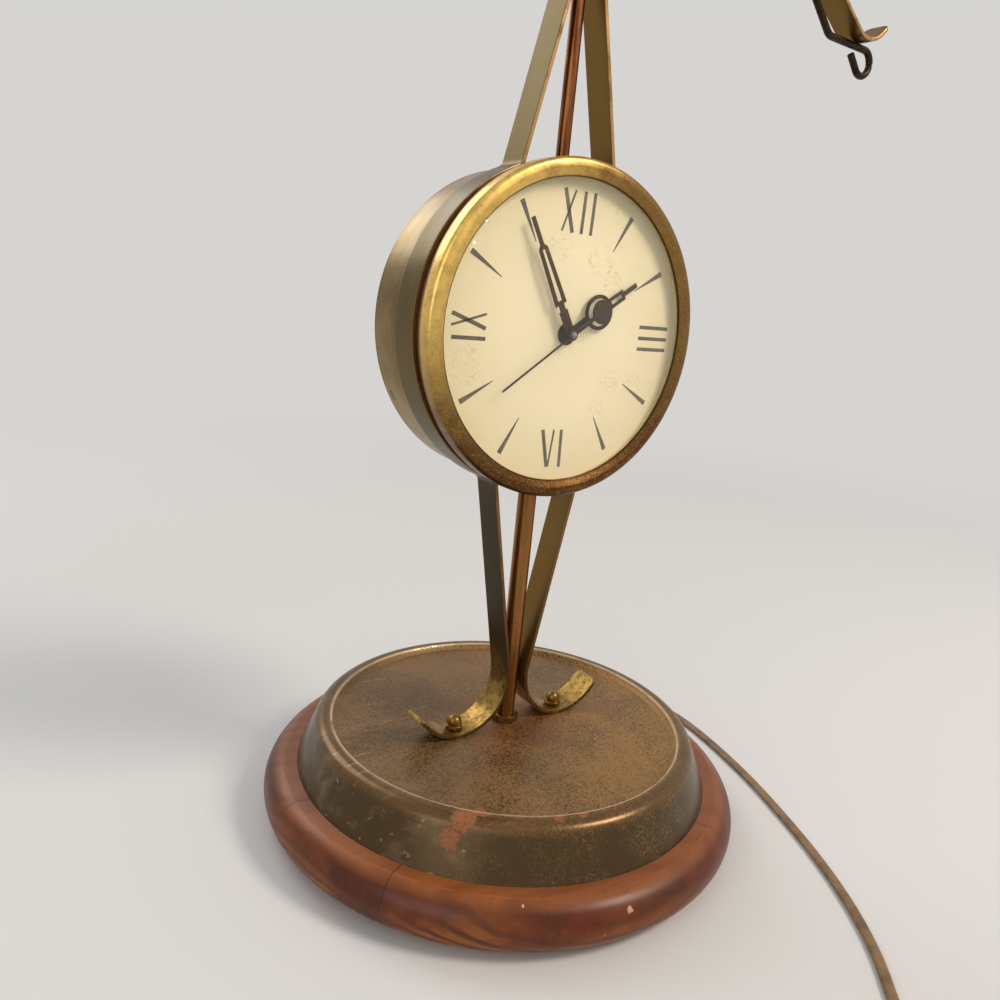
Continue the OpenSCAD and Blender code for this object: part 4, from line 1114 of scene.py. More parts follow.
@dataclass(frozen=True)
class TurnedWood(Finish):
    """Turned hardwood under red-brown lacquer: amber where it is worn, scratched, nicked and cracked, with
    painted light on its flat top.
    """

    red: str = "#652807"
    dusk: str = "#4c1f08"
    # Painted light on the flat top.
    flat: str = "#98582b"
    amber: str = "#8e4e18"
    grain: str = "#421a08"
    worn_edge: str = "#a45c2a"
    nick: str = "#caa07a"
    crack: str = "#2a120a"
    flat_r: float = 117.2
    ring_mm: float = 5.5
    crack_angles: tuple[float, ...] = (176.5, -148.8, -62.0, 28.0, 95.0)
    first_nick: tuple[float, ...] = (-16.0, -122.4, 20.0, 2.4)
    nicks: tuple[tuple[float, ...], ...] = (
        (-31.7, -121.1, 16.0, 1.5), (-36.0, -120.0, 14.0, 1.2), (-29.0, -122.5, 13.0, 1.2),
        (-96.3, -76.2, 6.0, 1.3), (-60.0, -104.0, 25.0, 0.9), (70.0, -98.0, 24.0, 1.2),
        (20.0, 121.0, 20.0, 1.4))

    def grained(self, skin: Skin, worn: Socket, streak: Socket) -> Socket:
        """A mask of growth rings and pores, stronger where the lacquer is worn.

        Args:
            skin: The material's skin.
            worn: Where the lacquer is worn.
            streak: Noise drawn out along the board.

        Returns:
            The mask.
        """
        board = skin.put("Mapping", {"Scale": (0.22, 1.0, 1.0), "Rotation": (0.0, 0.06, 0.62),
                                     "Location": (0.03, 0.035, 0.065)})
        wave = {"Vector": board, "Scale": WAVE_PER_MM / self.ring_mm, "Distortion": 2.2, "Detail": 2.0,
                "Detail Scale": 1.4}
        rings = skin.put("TexWave", wave, wave_type="RINGS", rings_direction="X")
        lines = skin.put("MapRange", {0: rings, 1: 0.35, 2: 0.95})
        depth = skin.put("Math", {0: worn, 1: 0.6, 2: 0.24}, operation="MULTIPLY_ADD")
        pores = skin.put("MapRange", {0: streak, 1: 0.54, 2: 0.7, 4: 0.4})
        lines = skin.put("Math", {0: lines, 1: depth}, operation="MULTIPLY")
        return skin.put("Math", {0: lines, 1: pores}, operation="MAXIMUM")

    def cracks(self, skin: Skin) -> Socket:
        """A mask of the thin radial cracks, each a wandering line beside a ray from the middle.

        Args:
            skin: The material's skin.

        Returns:
            The mask.
        """
        wobble = skin.put("TexNoise", {"Scale": per_mm(12.0), "Detail": 3.0}, "Color")
        wavy = skin.put("VectorMath", {0: wobble, 1: (0.002, 0.002, 0.0), 2: skin.where},
                        operation="MULTIPLY_ADD")
        masks = []
        for a in map(math.radians, self.crack_angles):
            beside = skin.put("VectorMath", {0: wavy, 1: (-math.sin(a), math.cos(a), 0.0)}, "Value",
                              operation="DOT_PRODUCT")
            reach = skin.toward((math.cos(a), math.sin(a), 0.0), 90.0, 96.0)
            masks.append(skin.put("Math", {0: skin.line(beside, 1.0, 0.45), 1: reach}, operation="MULTIPLY"))
        return skin.folded("MAXIMUM", *masks)

    def lay(self, skin: Skin) -> None:
        """Lays lacquer, painted light on the flat top, grain, worn edges, nicks, scratches and cracks.

        Args:
            skin: The material's skin.
        """
        fibre = skin.put("Mapping", {"Scale": (0.05, 1.0, 1.0), "Rotation": (0, 0, 0.62)})
        streak = skin.put("TexNoise", {"Vector": fibre, "Scale": per_mm(0.9), "Detail": 4.0,
                                       "Roughness": 0.7})
        low = skin.toward((0, 0, -1), -21.0, -4.0)
        left = skin.toward((-0.8, -0.6, 0), 40.0, 125.0)
        wear = skin.cloud(34.0, 0.35, 0.65)
        worn = skin.put("Math", {0: left, 1: 0.5, 2: low}, operation="MULTIPLY_ADD")
        worn = skin.put("Math", {0: worn, 1: wear}, operation="MULTIPLY")
        worn = skin.put("MapRange", {0: worn, 1: 0.1, 2: 0.85})
        crease = skin.folded("MULTIPLY", skin.line(skin.around((1, 1, 0)), self.flat_r, 1.3),
                             skin.cloud(7.0, 0.42, 0.58), skin.toward((0, 0, 1), 22.0, 25.0))
        foot = skin.put("Math", {0: skin.toward((0, 0, -1), -4.2, -2.2), 1: 0.6}, operation="MULTIPLY")
        slanted = skin.put("Mapping", {"Rotation": (0.4, 0.2, 1.3)})
        scratch = skin.put("Math", {0: skin.cloud(1.1, 0.70, 0.76, (0.05, 1.0, 1.0), slanted), 1: 0.5},
                           operation="MULTIPLY")
        chip = skin.folded("MAXIMUM", skin.spots((self.first_nick,), 0.5), skin.spots(self.nicks, 0.6),
                           scratch)
        split = self.cracks(skin)
        colour = skin.tinted(
            self.red, (self.dusk, skin.cloud(26.0, 0.36, 0.6)), (self.amber, worn),
            # Painted light: the flat top is made lighter.
            (self.flat, skin.toward((0, 0, 1), 23.0, 26.0), 0.75),
            (self.grain, self.grained(skin, worn, streak)),
            (self.worn_edge, skin.put("Math", {0: crease, 1: foot}, operation="MAXIMUM"), 0.45),
            (self.nick, chip),
            (self.crack, split))
        rough = skin.put("MapRange", {0: wear, 3: 0.3, 4: 0.45})
        height = skin.put("Math", {0: split, 1: -3.0, 2: streak}, operation="MULTIPLY_ADD")
        skin.close(colour, rough, height, 0.02, IOR=1.45, Coat_Weight=0.05, Coat_Roughness=0.2,
                   Specular_IOR_Level=0.35)


@dataclass(frozen=True)
class ClearGlass(Finish):
    """Blown crystal glass with a little dust: sharp glints, and lamps reach the dial through it."""

    tint: str = "#fafbf8"
    shadow: str = "#fbfbf8"

    def lay(self, skin: Skin) -> None:
        """Lays glass for the eye and a clear pane for shadow rays.

        Args:
            skin: The material's skin.
        """
        rough = skin.put("MapRange", {0: skin.cloud(0.5, 0.74, 0.8), 3: 0.0, 4: 0.12})
        glass = skin.put("BsdfPrincipled", {"Base Color": self.tint, "Roughness": rough, "IOR": 1.45,
                                            "Transmission Weight": 1.0})
        clear = skin.put("BsdfTransparent", {"Color": self.shadow})
        lamp = skin.put("LightPath", out="Is Shadow Ray")
        skin.put("OutputMaterial", {"Surface": skin.put("MixShader", {0: lamp, 1: glass, 2: clear})})


# Finishes with a class of their own. Their docstrings say what the surface gives the eye.
MAHOGANY = TurnedWood("lacquered_mahogany")
PAN_STEEL = PressedPan("bronzed_pressed_steel")
STRAP_BRASS = StrapBrass("aged_strap_brass")
COPPER_TUBE = ColumnCopper("column_copper_bronze")
BEZEL_BRASS = BezelBrass("polished_bezel_brass")
DRUM_BRASS = DrumBrass("drawn_drum_brass")
DIAL_CREAM = DialEnamel("dial_cream_enamel")
GLASS = ClearGlass("domed_window_glass")
# Turned brass, handled and unlacquered: warm gold with brown in its hollows.
NUT_BRASS = AgedMetal("nut_brass", "#93713a", "#6e5026", "#463318", 2.4, 0.5, 0.6, 0.9, (0.28, 0.45), 0.02)
# Drawn iron wire, oxidised by heat: nearly black, with worn golden specks.
DARK_WIRE = AgedMetal("oxidised_wire", "#3a2b1a", "#231a10", "#7a5f38", 5.0, 0.9, 0.3, 0.85, (0.32, 0.48),
                      0.015)
# Stamped brass, chemically bronzed: dark brown with a soft sheen.
HAND_BRONZE = AgedMetal("hand_bronze", "#4b3414", "#38260e", "#6a522c", 6.0, 0.5, 0.35, 0.85, (0.3, 0.4),
                        0.004)
# Milled brass, kept under oil: clean, bright yellow.
CUT_BRASS = AgedMetal("cut_gear_brass", "#b08d4a", "#9c7a3e", "#8a6a34", 5.0, 0.4, 0.3, 1.0, (0.25, 0.35),
                      0.004)
# Turned steel, left bare: a grey gloss with few specks.
PLAIN_STEEL = AgedMetal("turned_plain_steel", "#9a9a98", "#8a8a88", "#767472", 4.0, 0.4, 0.3, 1.0,
                        (0.3, 0.42), 0.006)
# Stamped steel sheets in a stack: blue-grey, lined across, with rust on their edges.
CORE_STEEL = AgedMetal("laminated_core_steel", "#5b6064", "#4b4f52", "#6e5a4a", 5.0, 0.5, 0.4, 0.8,
                       (0.4, 0.55), 0.02, (1.0, 8.0, 1.0))
# Spun aluminium: pale and evenly satin.
CAN_ALUMINIUM = AgedMetal("spun_aluminium", "#a8a8a5", "#979794", "#848480", 6.0, 0.5, 0.2, 1.0,
                          (0.3, 0.4), 0.005)
# Pressed card: matt and buff.
SPACER = Moulded("pale_spacer_card", "#c9bb92", "#b9aa80", 0.8, (0.5, 0.6), 0.01)
# Printed ink: matt brown, a little uneven.
DIAL_INK = Moulded("dial_ink", "#463b2c", "#5d5040", 0.5, (0.5, 0.65), 0.003)
# Pressed wool felt: dull green with a raised nap. Fibres are too fine to show, so the grain is coarser.
FELT = Moulded("green_felt", "#2c382b", "#202a20", 0.4, (0.95, 1.0), 0.2)
# Moulded phenolic: near black with a hard gloss.
PHENOLIC = Moulded("black_phenolic", "#1c1916", "#24201c", 0.8, (0.25, 0.4), 0.006, 0.3)
# Vulcanised fibre sheet: dull brown.
FIBRE = Moulded("vulcanised_fibre", "#3b2a1b", "#4a3624", 0.5, (0.5, 0.6), 0.02)
# Varnished copper winding: glossy red-brown with a fine ripple.
WINDING = Moulded("varnished_winding", "#8a4826", "#6c351c", 0.3, (0.3, 0.45), 0.03, 0.4)
# Extruded vinyl: brown, slightly glossy and cloudy.
CORD_VINYL = Moulded("brown_cord_vinyl", "#8b6b45", "#6b5031", 0.9, (0.34, 0.46), 0.01, 0.1)
# Moulded thermoplastic: dark brown with a soft gloss.
PLUG_PLASTIC = Moulded("brown_plug_plastic", "#2c1e14", "#38271a", 0.8, (0.3, 0.42), 0.008, 0.2)


def dress(piece: Piece, finish: Finish, slot: str, *nodes: str, body: Body = Body.ROOT) -> None:
    """Gives a new piece its finish and body, and hides the nodes it stands for.

    Args:
        piece: The piece.
        finish: Its finish.
        slot: The record's material slot; not used.
        *nodes: Nodes of the frame that it stands for.
        body: The body it rides on.
    """
    piece.data.materials.clear()
    piece.data.materials.append(finish.make())
    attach(piece, body.value)
    if nodes:
        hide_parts(*nodes)
    LOG.info("%s: %d faces", piece.name, len(piece.data.polygons))


def coat_nodes(frame: dict, finishes: dict[str, Finish]) -> None:
    """Lays a finish on nodes of the frame that stay as they are.

    Args:
        finishes: Node name to finish.
    """
    for name, finish in finishes.items():
        data = frame["nodes"][name].data
        if not data.materials:
            data.materials.append(finish.make())
        for i in range(len(data.materials)):
            data.materials[i] = finish.make()


# The clock's sub-assemblies


@dataclass
class Sizes:
    """The clock's shared sizes in millimetres, as the frame has them."""

    felt_t: float = 1.3
    wood_r: float = 127.0
    wood_t: float = 25.4
    wood_edge: float = 10.0
    pan_rim_r: float = 110.6
    pan_h: float = 23.4
    pan_shoulder_r: float = 102.8
    pan_shoulder_round: float = 6.0
    pan_ring_r: float = 94.0
    pan_sink: float = 2.9
    tube_r: float = 4.76
    rod_r: float = 3.175
    dial_z: float = 257.7
    crown_z: float = 432.0
    strap_w: float = 16.0
    strap_t: float = 2.0
    foot_x: float = 33.0
    case_r: float = 76.2
    case_rear: float = 32.6
    dial_f: float = 16.6
    bezel_face: float = 6.0
    seat: float = 0.1

    @property
    def wood_top(self) -> float:
        """Height of the wood's top."""
        return self.felt_t + self.wood_t

    @property
    def field_z(self) -> float:
        """Height of the pan's sunk field."""
        return self.wood_top + self.pan_h - self.pan_sink

    @property
    def hole_r(self) -> float:
        """Radius of the holes in wood and pan that the tube goes through."""
        return self.tube_r + self.seat

    @property
    def head(self) -> Matrix:
        """Turns a drawing of the dial, with its third axis out of the dial, to its place."""
        return at((0, 0, self.dial_z), math.pi / 2, "X")


@dataclass
class PhotoCamera:
    """Where the photograph was taken from, fitted to the clock's circles."""

    azimuth: float = -0.6234
    elevation: float = 0.2389
    roll: float = 0.0952
    place: Point3 = (-0.25974, -0.33761, 0.27389)
    lens: float = 30.50

    def build(self) -> None:
        """Adds the camera and makes it the scene's own."""
        a, e, r = self.azimuth, self.elevation, self.roll
        back = Vector((math.sin(a) * math.cos(e), -math.cos(a) * math.cos(e), math.sin(e)))
        right0 = Vector((0, 0, 1)).cross(back).normalized()
        up0 = back.cross(right0)
        right = math.cos(r) * right0 + math.sin(r) * up0
        up = -math.sin(r) * right0 + math.cos(r) * up0
        data = bpy.data.cameras.new("photo_camera")
        data.lens = self.lens
        data.sensor_width = 36.0
        data.clip_start = 0.01
        camera = added("photo_camera", data)
        camera.matrix_world = Matrix.Translation(self.place) @ Matrix((right, up, back)).transposed().to_4x4()
        bpy.context.scene.camera = camera


@dataclass
class Cord:
    """Flat two-core lamp cord: its bushing, its run on the table, its coil and its plug."""

    width: float = 5.3
    thick: float = 2.7
    length_m: float = 1.77
    coil_at: Point2 = (60.0, -265.0)
    coil_r: float = 40.0
    enter: float = 136.0
    turns: float = 2.77
    pitch: float = 6.6
    layer: float = 3.4
    per_turn: int = 30
    plug_run: float = 36.0
    plug_z: float = 6.0
    plug_size: Point3 = (28.0, 22.0, 12.0)
    blade: Point3 = (17.0, 6.3, 1.5)
    blade_gap: float = 12.7
    outlet_z: float = 9.0
    bushing: Point2 = (112.5, 138.0)
    route: list[Point3] = field(default_factory=lambda: [
        (0, 138, 9), (0, 141, 9), (0, 144, 8.9), (0, 150, 7.8), (1, 156, 6), (6, 166, 3), (15, 176, 1.35),
        *((x, y, 1.35) for x, y in (
            (28, 184), (44, 188), (62, 186), (82, 178), (102, 163), (121, 143), (138, 118), (151, 90),
            (160, 62), (164, 36), (164, 12), (160, -12), (154, -36), (146, -62), (136, -88), (125, -114),
            (112, -140), (98, -163), (83, -183), (67, -200), (51, -216.5), (35.4, -232.9)))])

    @property
    def whole(self) -> float:
        """Turns of both layers and of the step between them."""
        return 2 * self.turns + 0.5

    @property
    def leaving(self) -> float:
        """The way the cord goes where it leaves the coil, in radians."""
        return math.radians(self.enter + 360 * self.whole + 90)

    def coil_point(self, turn: float) -> Vector:
        """A point of the coil.

        Args:
            turn: How many turns along the coil it lies.

        Returns:
            The point in millimetres.
        """
        inner = self.coil_r - self.turns * self.pitch
        if turn < self.turns:
            r = self.coil_r - self.pitch * turn
        elif turn < self.turns + 0.5:
            r = inner
        else:
            r = inner + self.pitch * (turn - self.turns - 0.5)
        a = math.radians(self.enter + 360 * turn)
        up = max(0.0, min(1.0, (turn - self.turns) * 2))
        return Vector((self.coil_at[0] + r * math.cos(a), self.coil_at[1] + r * math.sin(a),
                       self.thick / 2 + self.layer * up))

    def path(self) -> list[Vector]:
        """The whole line of the cord, from the bushing round the coil to the plug.

        Returns:
            Its points in metres.
        """
        steps = math.floor(self.whole * self.per_turn)
        winding = [self.coil_point(i * self.whole / steps) for i in range(steps + 1)]
        line = spline([Vector(p) for p in self.route], 4)[:-1]
        line += winding
        along = Vector((math.cos(self.leaving), math.sin(self.leaving), 0))
        end = winding[-1]
        flat = Vector((end.x, end.y, self.plug_z))
        line += [end + 10 * along - Vector((0, 0, 0.9)), end + 20 * along - Vector((0, 0, 0.6)),
                 flat + (self.plug_run - 5.5) * along, flat + self.plug_run * along]
        return [p * MM for p in line]

    @property
    def at_plug(self) -> Matrix:
        """Where the plug lies.

        Returns:
            The matrix that puts a drawing there which starts at the nose, its first axis outwards.
        """
        end = self.coil_point(self.whole)
        x = end.x + self.plug_run * math.cos(self.leaving)
        y = end.y + self.plug_run * math.sin(self.leaving)
        return at((x, y, self.plug_z), self.leaving)

    def plug(self) -> Piece:
        """Moulds the plug: a rounded nose that widens to the grip, with three grooves round it.

        Returns:
            The plug's body.
        """
        length, wide, high = self.plug_size
        stations = [(0.0, 8.6, 7.4), (0.8, 9.8, 8.6), (8.8, 20.4, 11.2), (10.6, wide, high)]
        for x in (12.4, 15.6, 18.8):
            stations += [(x, wide, high), (x + 0.6, wide - 1.4, high - 1.4),
                         (x + 1.6, wide - 1.4, high - 1.4), (x + 2.2, wide, high)]
        stations += [(length - 1.0, wide, high), (length - 0.2, wide - 1.2, high - 1.2),
                     (length, wide - 2.4, high - 2.4)]
        first, wide0, high0 = stations[0]
        r = high0 * 0.34
        y, z = wide0 / 2 - r, high0 / 2 - r
        corners = ((y, z, 0), (-y, z, 90), (-y, -z, 180), (y, -z, 270))
        ring = [p for cy, cz, a in corners for p in arc(cy, cz, r, a, a + 90, 5)]
        body = draw("moulded_plug", [Vector((first, a, b)) * MM for a, b in ring])
        bpy.ops.mesh.select_all(action="SELECT")
        bpy.ops.mesh.edge_face_add()
        for before, here in zip(stations, stations[1:]):
            swept(((here[0] - before[0]) * MM, 0, 0))
            bpy.ops.transform.resize(value=(1, here[1] / before[1], here[2] / before[2]),
                                     center_override=(here[0] * MM, 0, 0))
        tidy(body, 50.0)
        bevelled(body, 0.25, 2, 30.0)
        return placed(body, self.at_plug)

    def prongs(self) -> Piece:
        """Stamps the plug's two flat blades with their holes and broken tips.

        Returns:
            Both blades as one piece.
        """
        long, high, thick = self.blade
        root = self.plug_size[0]
        outline = [(root, -high / 2), (root + long - 1.6, -high / 2), (root + long, -high / 2 + 1.3),
                   (root + long, high / 2 - 1.3), (root + long - 1.6, high / 2), (root, high / 2)]
        blade = plate("blade_a", outline, -thick / 2, thick / 2)
        cut(blade, plate("blade_hole", arc(root + long - 4.2, 0, 1.55, 0, 345, 23), -thick, thick))
        bevelled(blade, 0.22, 2, 35.0)
        twin = copied(blade, "blade_b")
        for piece, side in ((blade, -1), (twin, 1)):
            placed(piece, self.at_plug @ at((0, side * self.blade_gap / 2, 0), math.pi / 2, "X"))
        return joined("plug_prongs", [blade, twin])

    def strain_relief(self) -> Piece:
        """Moulds the tapered bushing with its flange and ribs.

        Returns:
            The bushing.
        """
        low, high = self.bushing
        outline = [(0, low), (2.9, low), (3.5, low + 0.6), (3.5, 124.5), (4.5, 124.6), (4.9, 125.0),
                   (4.9, 125.9), (4.5, 126.4), (3.9, 126.5)]
        for k in range(4):
            y = 127.2 + 2.6 * k
            r = 4.1 - 0.24 * k
            outline += [(r, y), (r + 0.02, y + 1.2), (r - 0.5, y + 1.6), (r - 0.55, y + 2.3)]
        outline += [(3.15, high - 0.4), (2.85, high), (2.4, high - 0.5), (0, high - 0.5)]
        piece = turned("cord_strain_relief", outline, 48)
        return placed(piece, at((0, 0, self.outlet_z), -math.pi / 2, "X"))

    def section(self) -> list[Point2]:
        """The cord's section: two round cores with a groove between them.

        Returns:
            Its points in millimetres.
        """
        core = self.thick / 2
        offset = self.width / 2 - core
        right = [(offset + core * math.cos(math.radians(a)), core * math.sin(math.radians(a)))
                 for a in range(-105, 106, 30)]
        left = [(-x, -y) for x, y in right]
        return right + left

    def build(self) -> None:
        plug, prongs, relief = self.plug(), self.prongs(), self.strain_relief()
        dress(plug, PLUG_PLASTIC, "plug_brown", "plug_body")
        dress(prongs, NUT_BRASS, "bright_brass", "plug_blades")
        dress(relief, PHENOLIC, "knob_black", "cord_bushing")
        line = self.path()
        cord = drawn_tube("lamp_cord", line, self.section())
        dress(cord, CORD_VINYL, "cord_brown", "cord", "cord_coil")
        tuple(line[0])


@dataclass
class Base:
    """Turned wooden disc and pressed pan."""

    sizes: Sizes
    wall: float = 1.0

    def wood(self) -> None:
        """Turns the wooden disc with its half-round edge."""
        s = self.sizes
        edge_r = ((s.wood_t / 2) ** 2 + s.wood_edge ** 2) / (2 * s.wood_edge)
        middle = s.felt_t + s.wood_t / 2
        reach = math.degrees(math.asin(s.wood_t / 2 / edge_r))
        edge = arc(s.wood_r - edge_r, middle, edge_r, -reach, reach, 24)
        outline = rounded([(s.hole_r, s.felt_t, 0), (*edge[0], 0.8)]) + edge[1:-1]
        outline += [edge[-1], (s.hole_r, s.wood_top), (s.hole_r, s.felt_t)]
        disc = turned("wooden_base", outline, 192)
        dress(disc, MAHOGANY, "mahogany", "wood_base")

    def pan(self) -> None:
        """Presses the pan: tapered side, round shoulder, ring and sunk field."""
        s = self.sizes
        wall, top, low, ring = self.wall, s.pan_h, s.pan_h - s.pan_sink, s.pan_ring_r
        cx, cz = s.pan_shoulder_r - s.pan_shoulder_round, top - s.pan_shoulder_round
        reach = math.hypot(s.pan_rim_r - cx, cz)
        touch = math.atan2(-cz, s.pan_rim_r - cx) + math.acos(s.pan_shoulder_round / reach)
        outer = [(s.pan_rim_r, 0.0)]
        outer += arc(cx, cz, s.pan_shoulder_round, math.degrees(touch), 90, 10)
        outer += rounded([(ring + 2.4, top, 0), (ring + 1.0, top, 0.8), (ring + 0.3, top + 0.25, 0.5),
                          (ring - 0.4, top + 0.2, 0.6), (ring - 1.4, top - 1.2, 1.0), (ring - 3.2, low, 1.4),
                          (80, low, 0)])
        inner = [(s.hole_r, low), (s.hole_r, low - wall), (90.0, low - wall), (94.0, top - wall - 0.4),
                 (cx, top - wall), (cx + 3.4, top - 2.4), (s.pan_rim_r - wall * 1.05, 0.0),
                 (s.pan_rim_r, 0.0)]
        outline = [(r, h + s.wood_top) for r, h in outer + inner]
        pan = turned("pressed_pan", outline, 192)
        dress(pan, PAN_STEEL, "bronzed_steel", "base_pan")

    def build(self) -> None:
        """Makes the base's pieces."""
        self.wood()
        self.pan()


@dataclass
class Straps:
    """The pair of bent straps with their nuts, hooks and the column between them."""

    sizes: Sizes
    foot_tip: float = 8.5
    lean_low: float = 10.65
    lean_high: float = 13.2
    leave_r: float = 5.0
    crown_bend: float = 22.0
    arch_r: float = 140.0
    arch_rise: float = 36.0
    arch_fall: float = 33.0
    arm_run: float = 30.3
    curl_r: float = 17.0
    curl_tip: float = 8.0
    end_rise: float = 45.0
    end_round: float = 4.0
    wire_r: float = 2.0
    wire_from: float = 2.0
    wire_leave: float = 16.0
    wire_bend: float = 40.0
    wire_fall: float = 42.0
    wire_level: float = 8.0
    hook_reach: float = 8.0
    hook_r: float = 7.0
    hook_turn: float = 225.0
    hook_leg: float = 10.0
    acorn_flats: float = 8.0
    acorn_h: float = 1.9
    acorn_lift: float = 0.41
    foot_flats: float = 12.7
    foot_nut_h: float = 4.0
    tube_low: float = 7.3

    @property
    def hoop_r(self) -> float:
        """Radius of the hoop round the drum, at the middle of the strap."""
        return self.sizes.case_r + self.sizes.strap_t / 2 + self.sizes.seat

    def run_to_hoop(self, p: Vector, d: Vector, n: Vector) -> tuple[float, float]:
        """Finds the straight run up to the bend that meets the hoop.

        Args:
            p: Where the run starts, in the plane of the straps.
            d: The way it goes.
            n: The side its bend is on.

        Returns:
            The run's length in millimetres and the bend's angle about the dial in degrees.
        """
        v = p + self.leave_r * n - Vector((0, self.sizes.dial_z))
        b = v.dot(d)
        run = -b - math.sqrt(b * b - v.dot(v) + (self.hoop_r + self.leave_r) ** 2)
        c = v + run * d
        return run, math.degrees(math.atan2(c.y, c.x))

    def path(self) -> tuple[State, list[Point2]]:
        """The right strap's line, from its foot's tip to its arm's tip.

        Returns:
            Its start and its moves.
        """
        s = self.sizes
        line_x = s.tube_r + s.strap_t / 2 + s.seat
        bend = s.foot_x - line_x
        low_z = s.field_z + s.strap_t / 2
        lo, hi = math.radians(self.lean_low), math.radians(self.lean_high)
        crown_x = s.rod_r + s.strap_t / 2 + s.seat
        low = Vector((s.foot_x - bend * math.cos(lo), low_z + bend + bend * math.sin(lo)))
        high = Vector((crown_x + self.crown_bend * (1 - math.cos(hi)),
                       s.crown_z - self.crown_bend * math.sin(hi)))
        low_run, low_angle = self.run_to_hoop(low, Vector((math.sin(lo), math.cos(lo))),
                                              Vector((math.cos(lo), -math.sin(lo))))
        high_run, high_angle = self.run_to_hoop(high, Vector((math.sin(hi), -math.cos(hi))),
                                                Vector((math.cos(hi), math.sin(hi))))
        tip = bent((s.foot_x, low_z, 180.0), bend, -1.0, -self.end_rise)
        rise = math.radians(self.end_rise)
        first = (tip[0] + self.foot_tip * math.cos(rise), tip[1] + self.foot_tip * math.sin(rise),
                 180.0 + self.end_rise)
        moves = [(self.foot_tip, 0.0), (bend, -(90 + self.end_rise + self.lean_low)), (low_run, 0.0),
                 (self.leave_r, low_angle + self.lean_low), (self.hoop_r, high_angle - low_angle),
                 (self.leave_r, self.lean_high - high_angle), (high_run, 0.0),
                 (self.crown_bend, self.arch_rise - 90 - self.lean_high),
                 (self.arch_r, -self.arch_rise - self.arch_fall), (self.arm_run, 0.0),
                 (self.curl_r, self.arch_fall + self.end_rise), (self.curl_tip, 0.0)]
        return first, moves

    def strap(self) -> Piece:
        """Bends the right strap: a drawn line widened to a ribbon, its corners rounded, then thickened.

        Returns:
            The strap.
        """
        s = self.sizes
        first, moves = self.path()
        states = trail(first, moves, 3.0)
        half = s.strap_w / 2
        piece = draw("right_strap_bent", [Vector((x, -half, z)) * MM for x, z, _ in states])
        bpy.ops.mesh.select_all(action="SELECT")
        swept((0, s.strap_w * MM, 0))
        ends = [Vector((x, 0, z)) * MM for x, z, _ in (states[0], states[-1])]
        pick(piece, "VERT", lambda p: any((p - Vector((0, p.y, 0)) - e).length < 1e-5 for e in ends))
        bpy.ops.mesh.bevel(affect="VERTICES", offset=self.end_round * MM, segments=6)
        bpy.ops.object.mode_set(mode="OBJECT")
        worked(piece, "SOLIDIFY", thickness=s.strap_t * MM, offset=0.0, use_even_offset=True)
        tidy(piece)
        return bevelled(piece, 0.35, 2, 50.0)

    def wire(self) -> Piece:
        """Bends the right hook's wire.

        Returns:
            The hook.
        """
        s = self.sizes
        first, moves = self.path()
        arch = trail(first, moves[:8], 90.0)[-1]
        a = math.radians(arch[2])
        centre = (arch[0] + self.arch_r * math.sin(a), arch[1] - self.arch_r * math.cos(a))
        curl = trail(first, moves[:10], 90.0)[-1]
        c = math.radians(curl[2])
        curl_centre = (curl[0] - self.curl_r * math.sin(c), curl[1] + self.curl_r * math.cos(c))
        r = self.arch_r - s.strap_t / 2 - self.wire_r - s.seat
        b = math.radians(self.wire_from)
        first = (centre[0] + r * math.sin(b), centre[1] + r * math.cos(b), -self.wire_from)
        level_z = curl_centre[1] - self.curl_r - s.strap_t / 2 - self.wire_r - s.seat
        bends = [(r, self.wire_from - self.wire_leave), (self.wire_bend, self.wire_leave - self.wire_fall)]
        high = trail(first, bends, 90.0)[-1]
        f = math.radians(self.wire_fall)
        run = (high[1] - self.wire_level * (1 - math.cos(f)) - level_z) / math.sin(f)
        level_x = high[0] + run * math.cos(f) + self.wire_level * math.sin(f)
        hook_x = curl_centre[0] + self.hook_reach
        states = trail(first, bends + [(run, 0.0), (self.wire_level, self.wire_fall),
                                       (hook_x - level_x, 0.0), (self.hook_r, -self.hook_turn),
                                       (self.hook_leg, 0.0)], 5.0)
        section = arc(0, 0, self.wire_r, 0, 345, 23)
        piece = drawn_tube("right_hook_wire", [Vector((x, 0, z)) * MM for x, z, _ in states], section)
        return bevelled(piece, 0.6, 3, 60.0)

    def hexagon(self, name: str, flats: float, height: float, chamfer: Point2, bore: float = 0.0) -> Piece:
        """Makes a hexagon standing on the origin, its corners turned down at both ends.

        Args:
            name: Name of the piece.
            flats: Size across the flats.
            height: Height.
            chamfer: Height of the chamfer at the foot and at the top.
            bore: Radius of the bore.

        Returns:
            The piece.
        """
        corner, face, past = flats / 2 / math.cos(math.pi / 6), flats / 2 * 0.97, 0.01
        low, high = chamfer[0], height - chamfer[1]
        form = [(bore, -past), (face, -past), (corner + 0.1, low), (corner + 0.1, high),
                (face, height + past), (bore, height + past)]
        if bore:
            form.append(form[0])
        start()
        bpy.ops.mesh.primitive_cylinder_add(vertices=6, radius=corner * MM, depth=height * MM,
                                            location=(0, 0, height / 2 * MM))
        piece = applied()
        cut(piece, turned(name + "_form", form, 48), "INTERSECT")
        piece.name = piece.data.name = name
        return piece

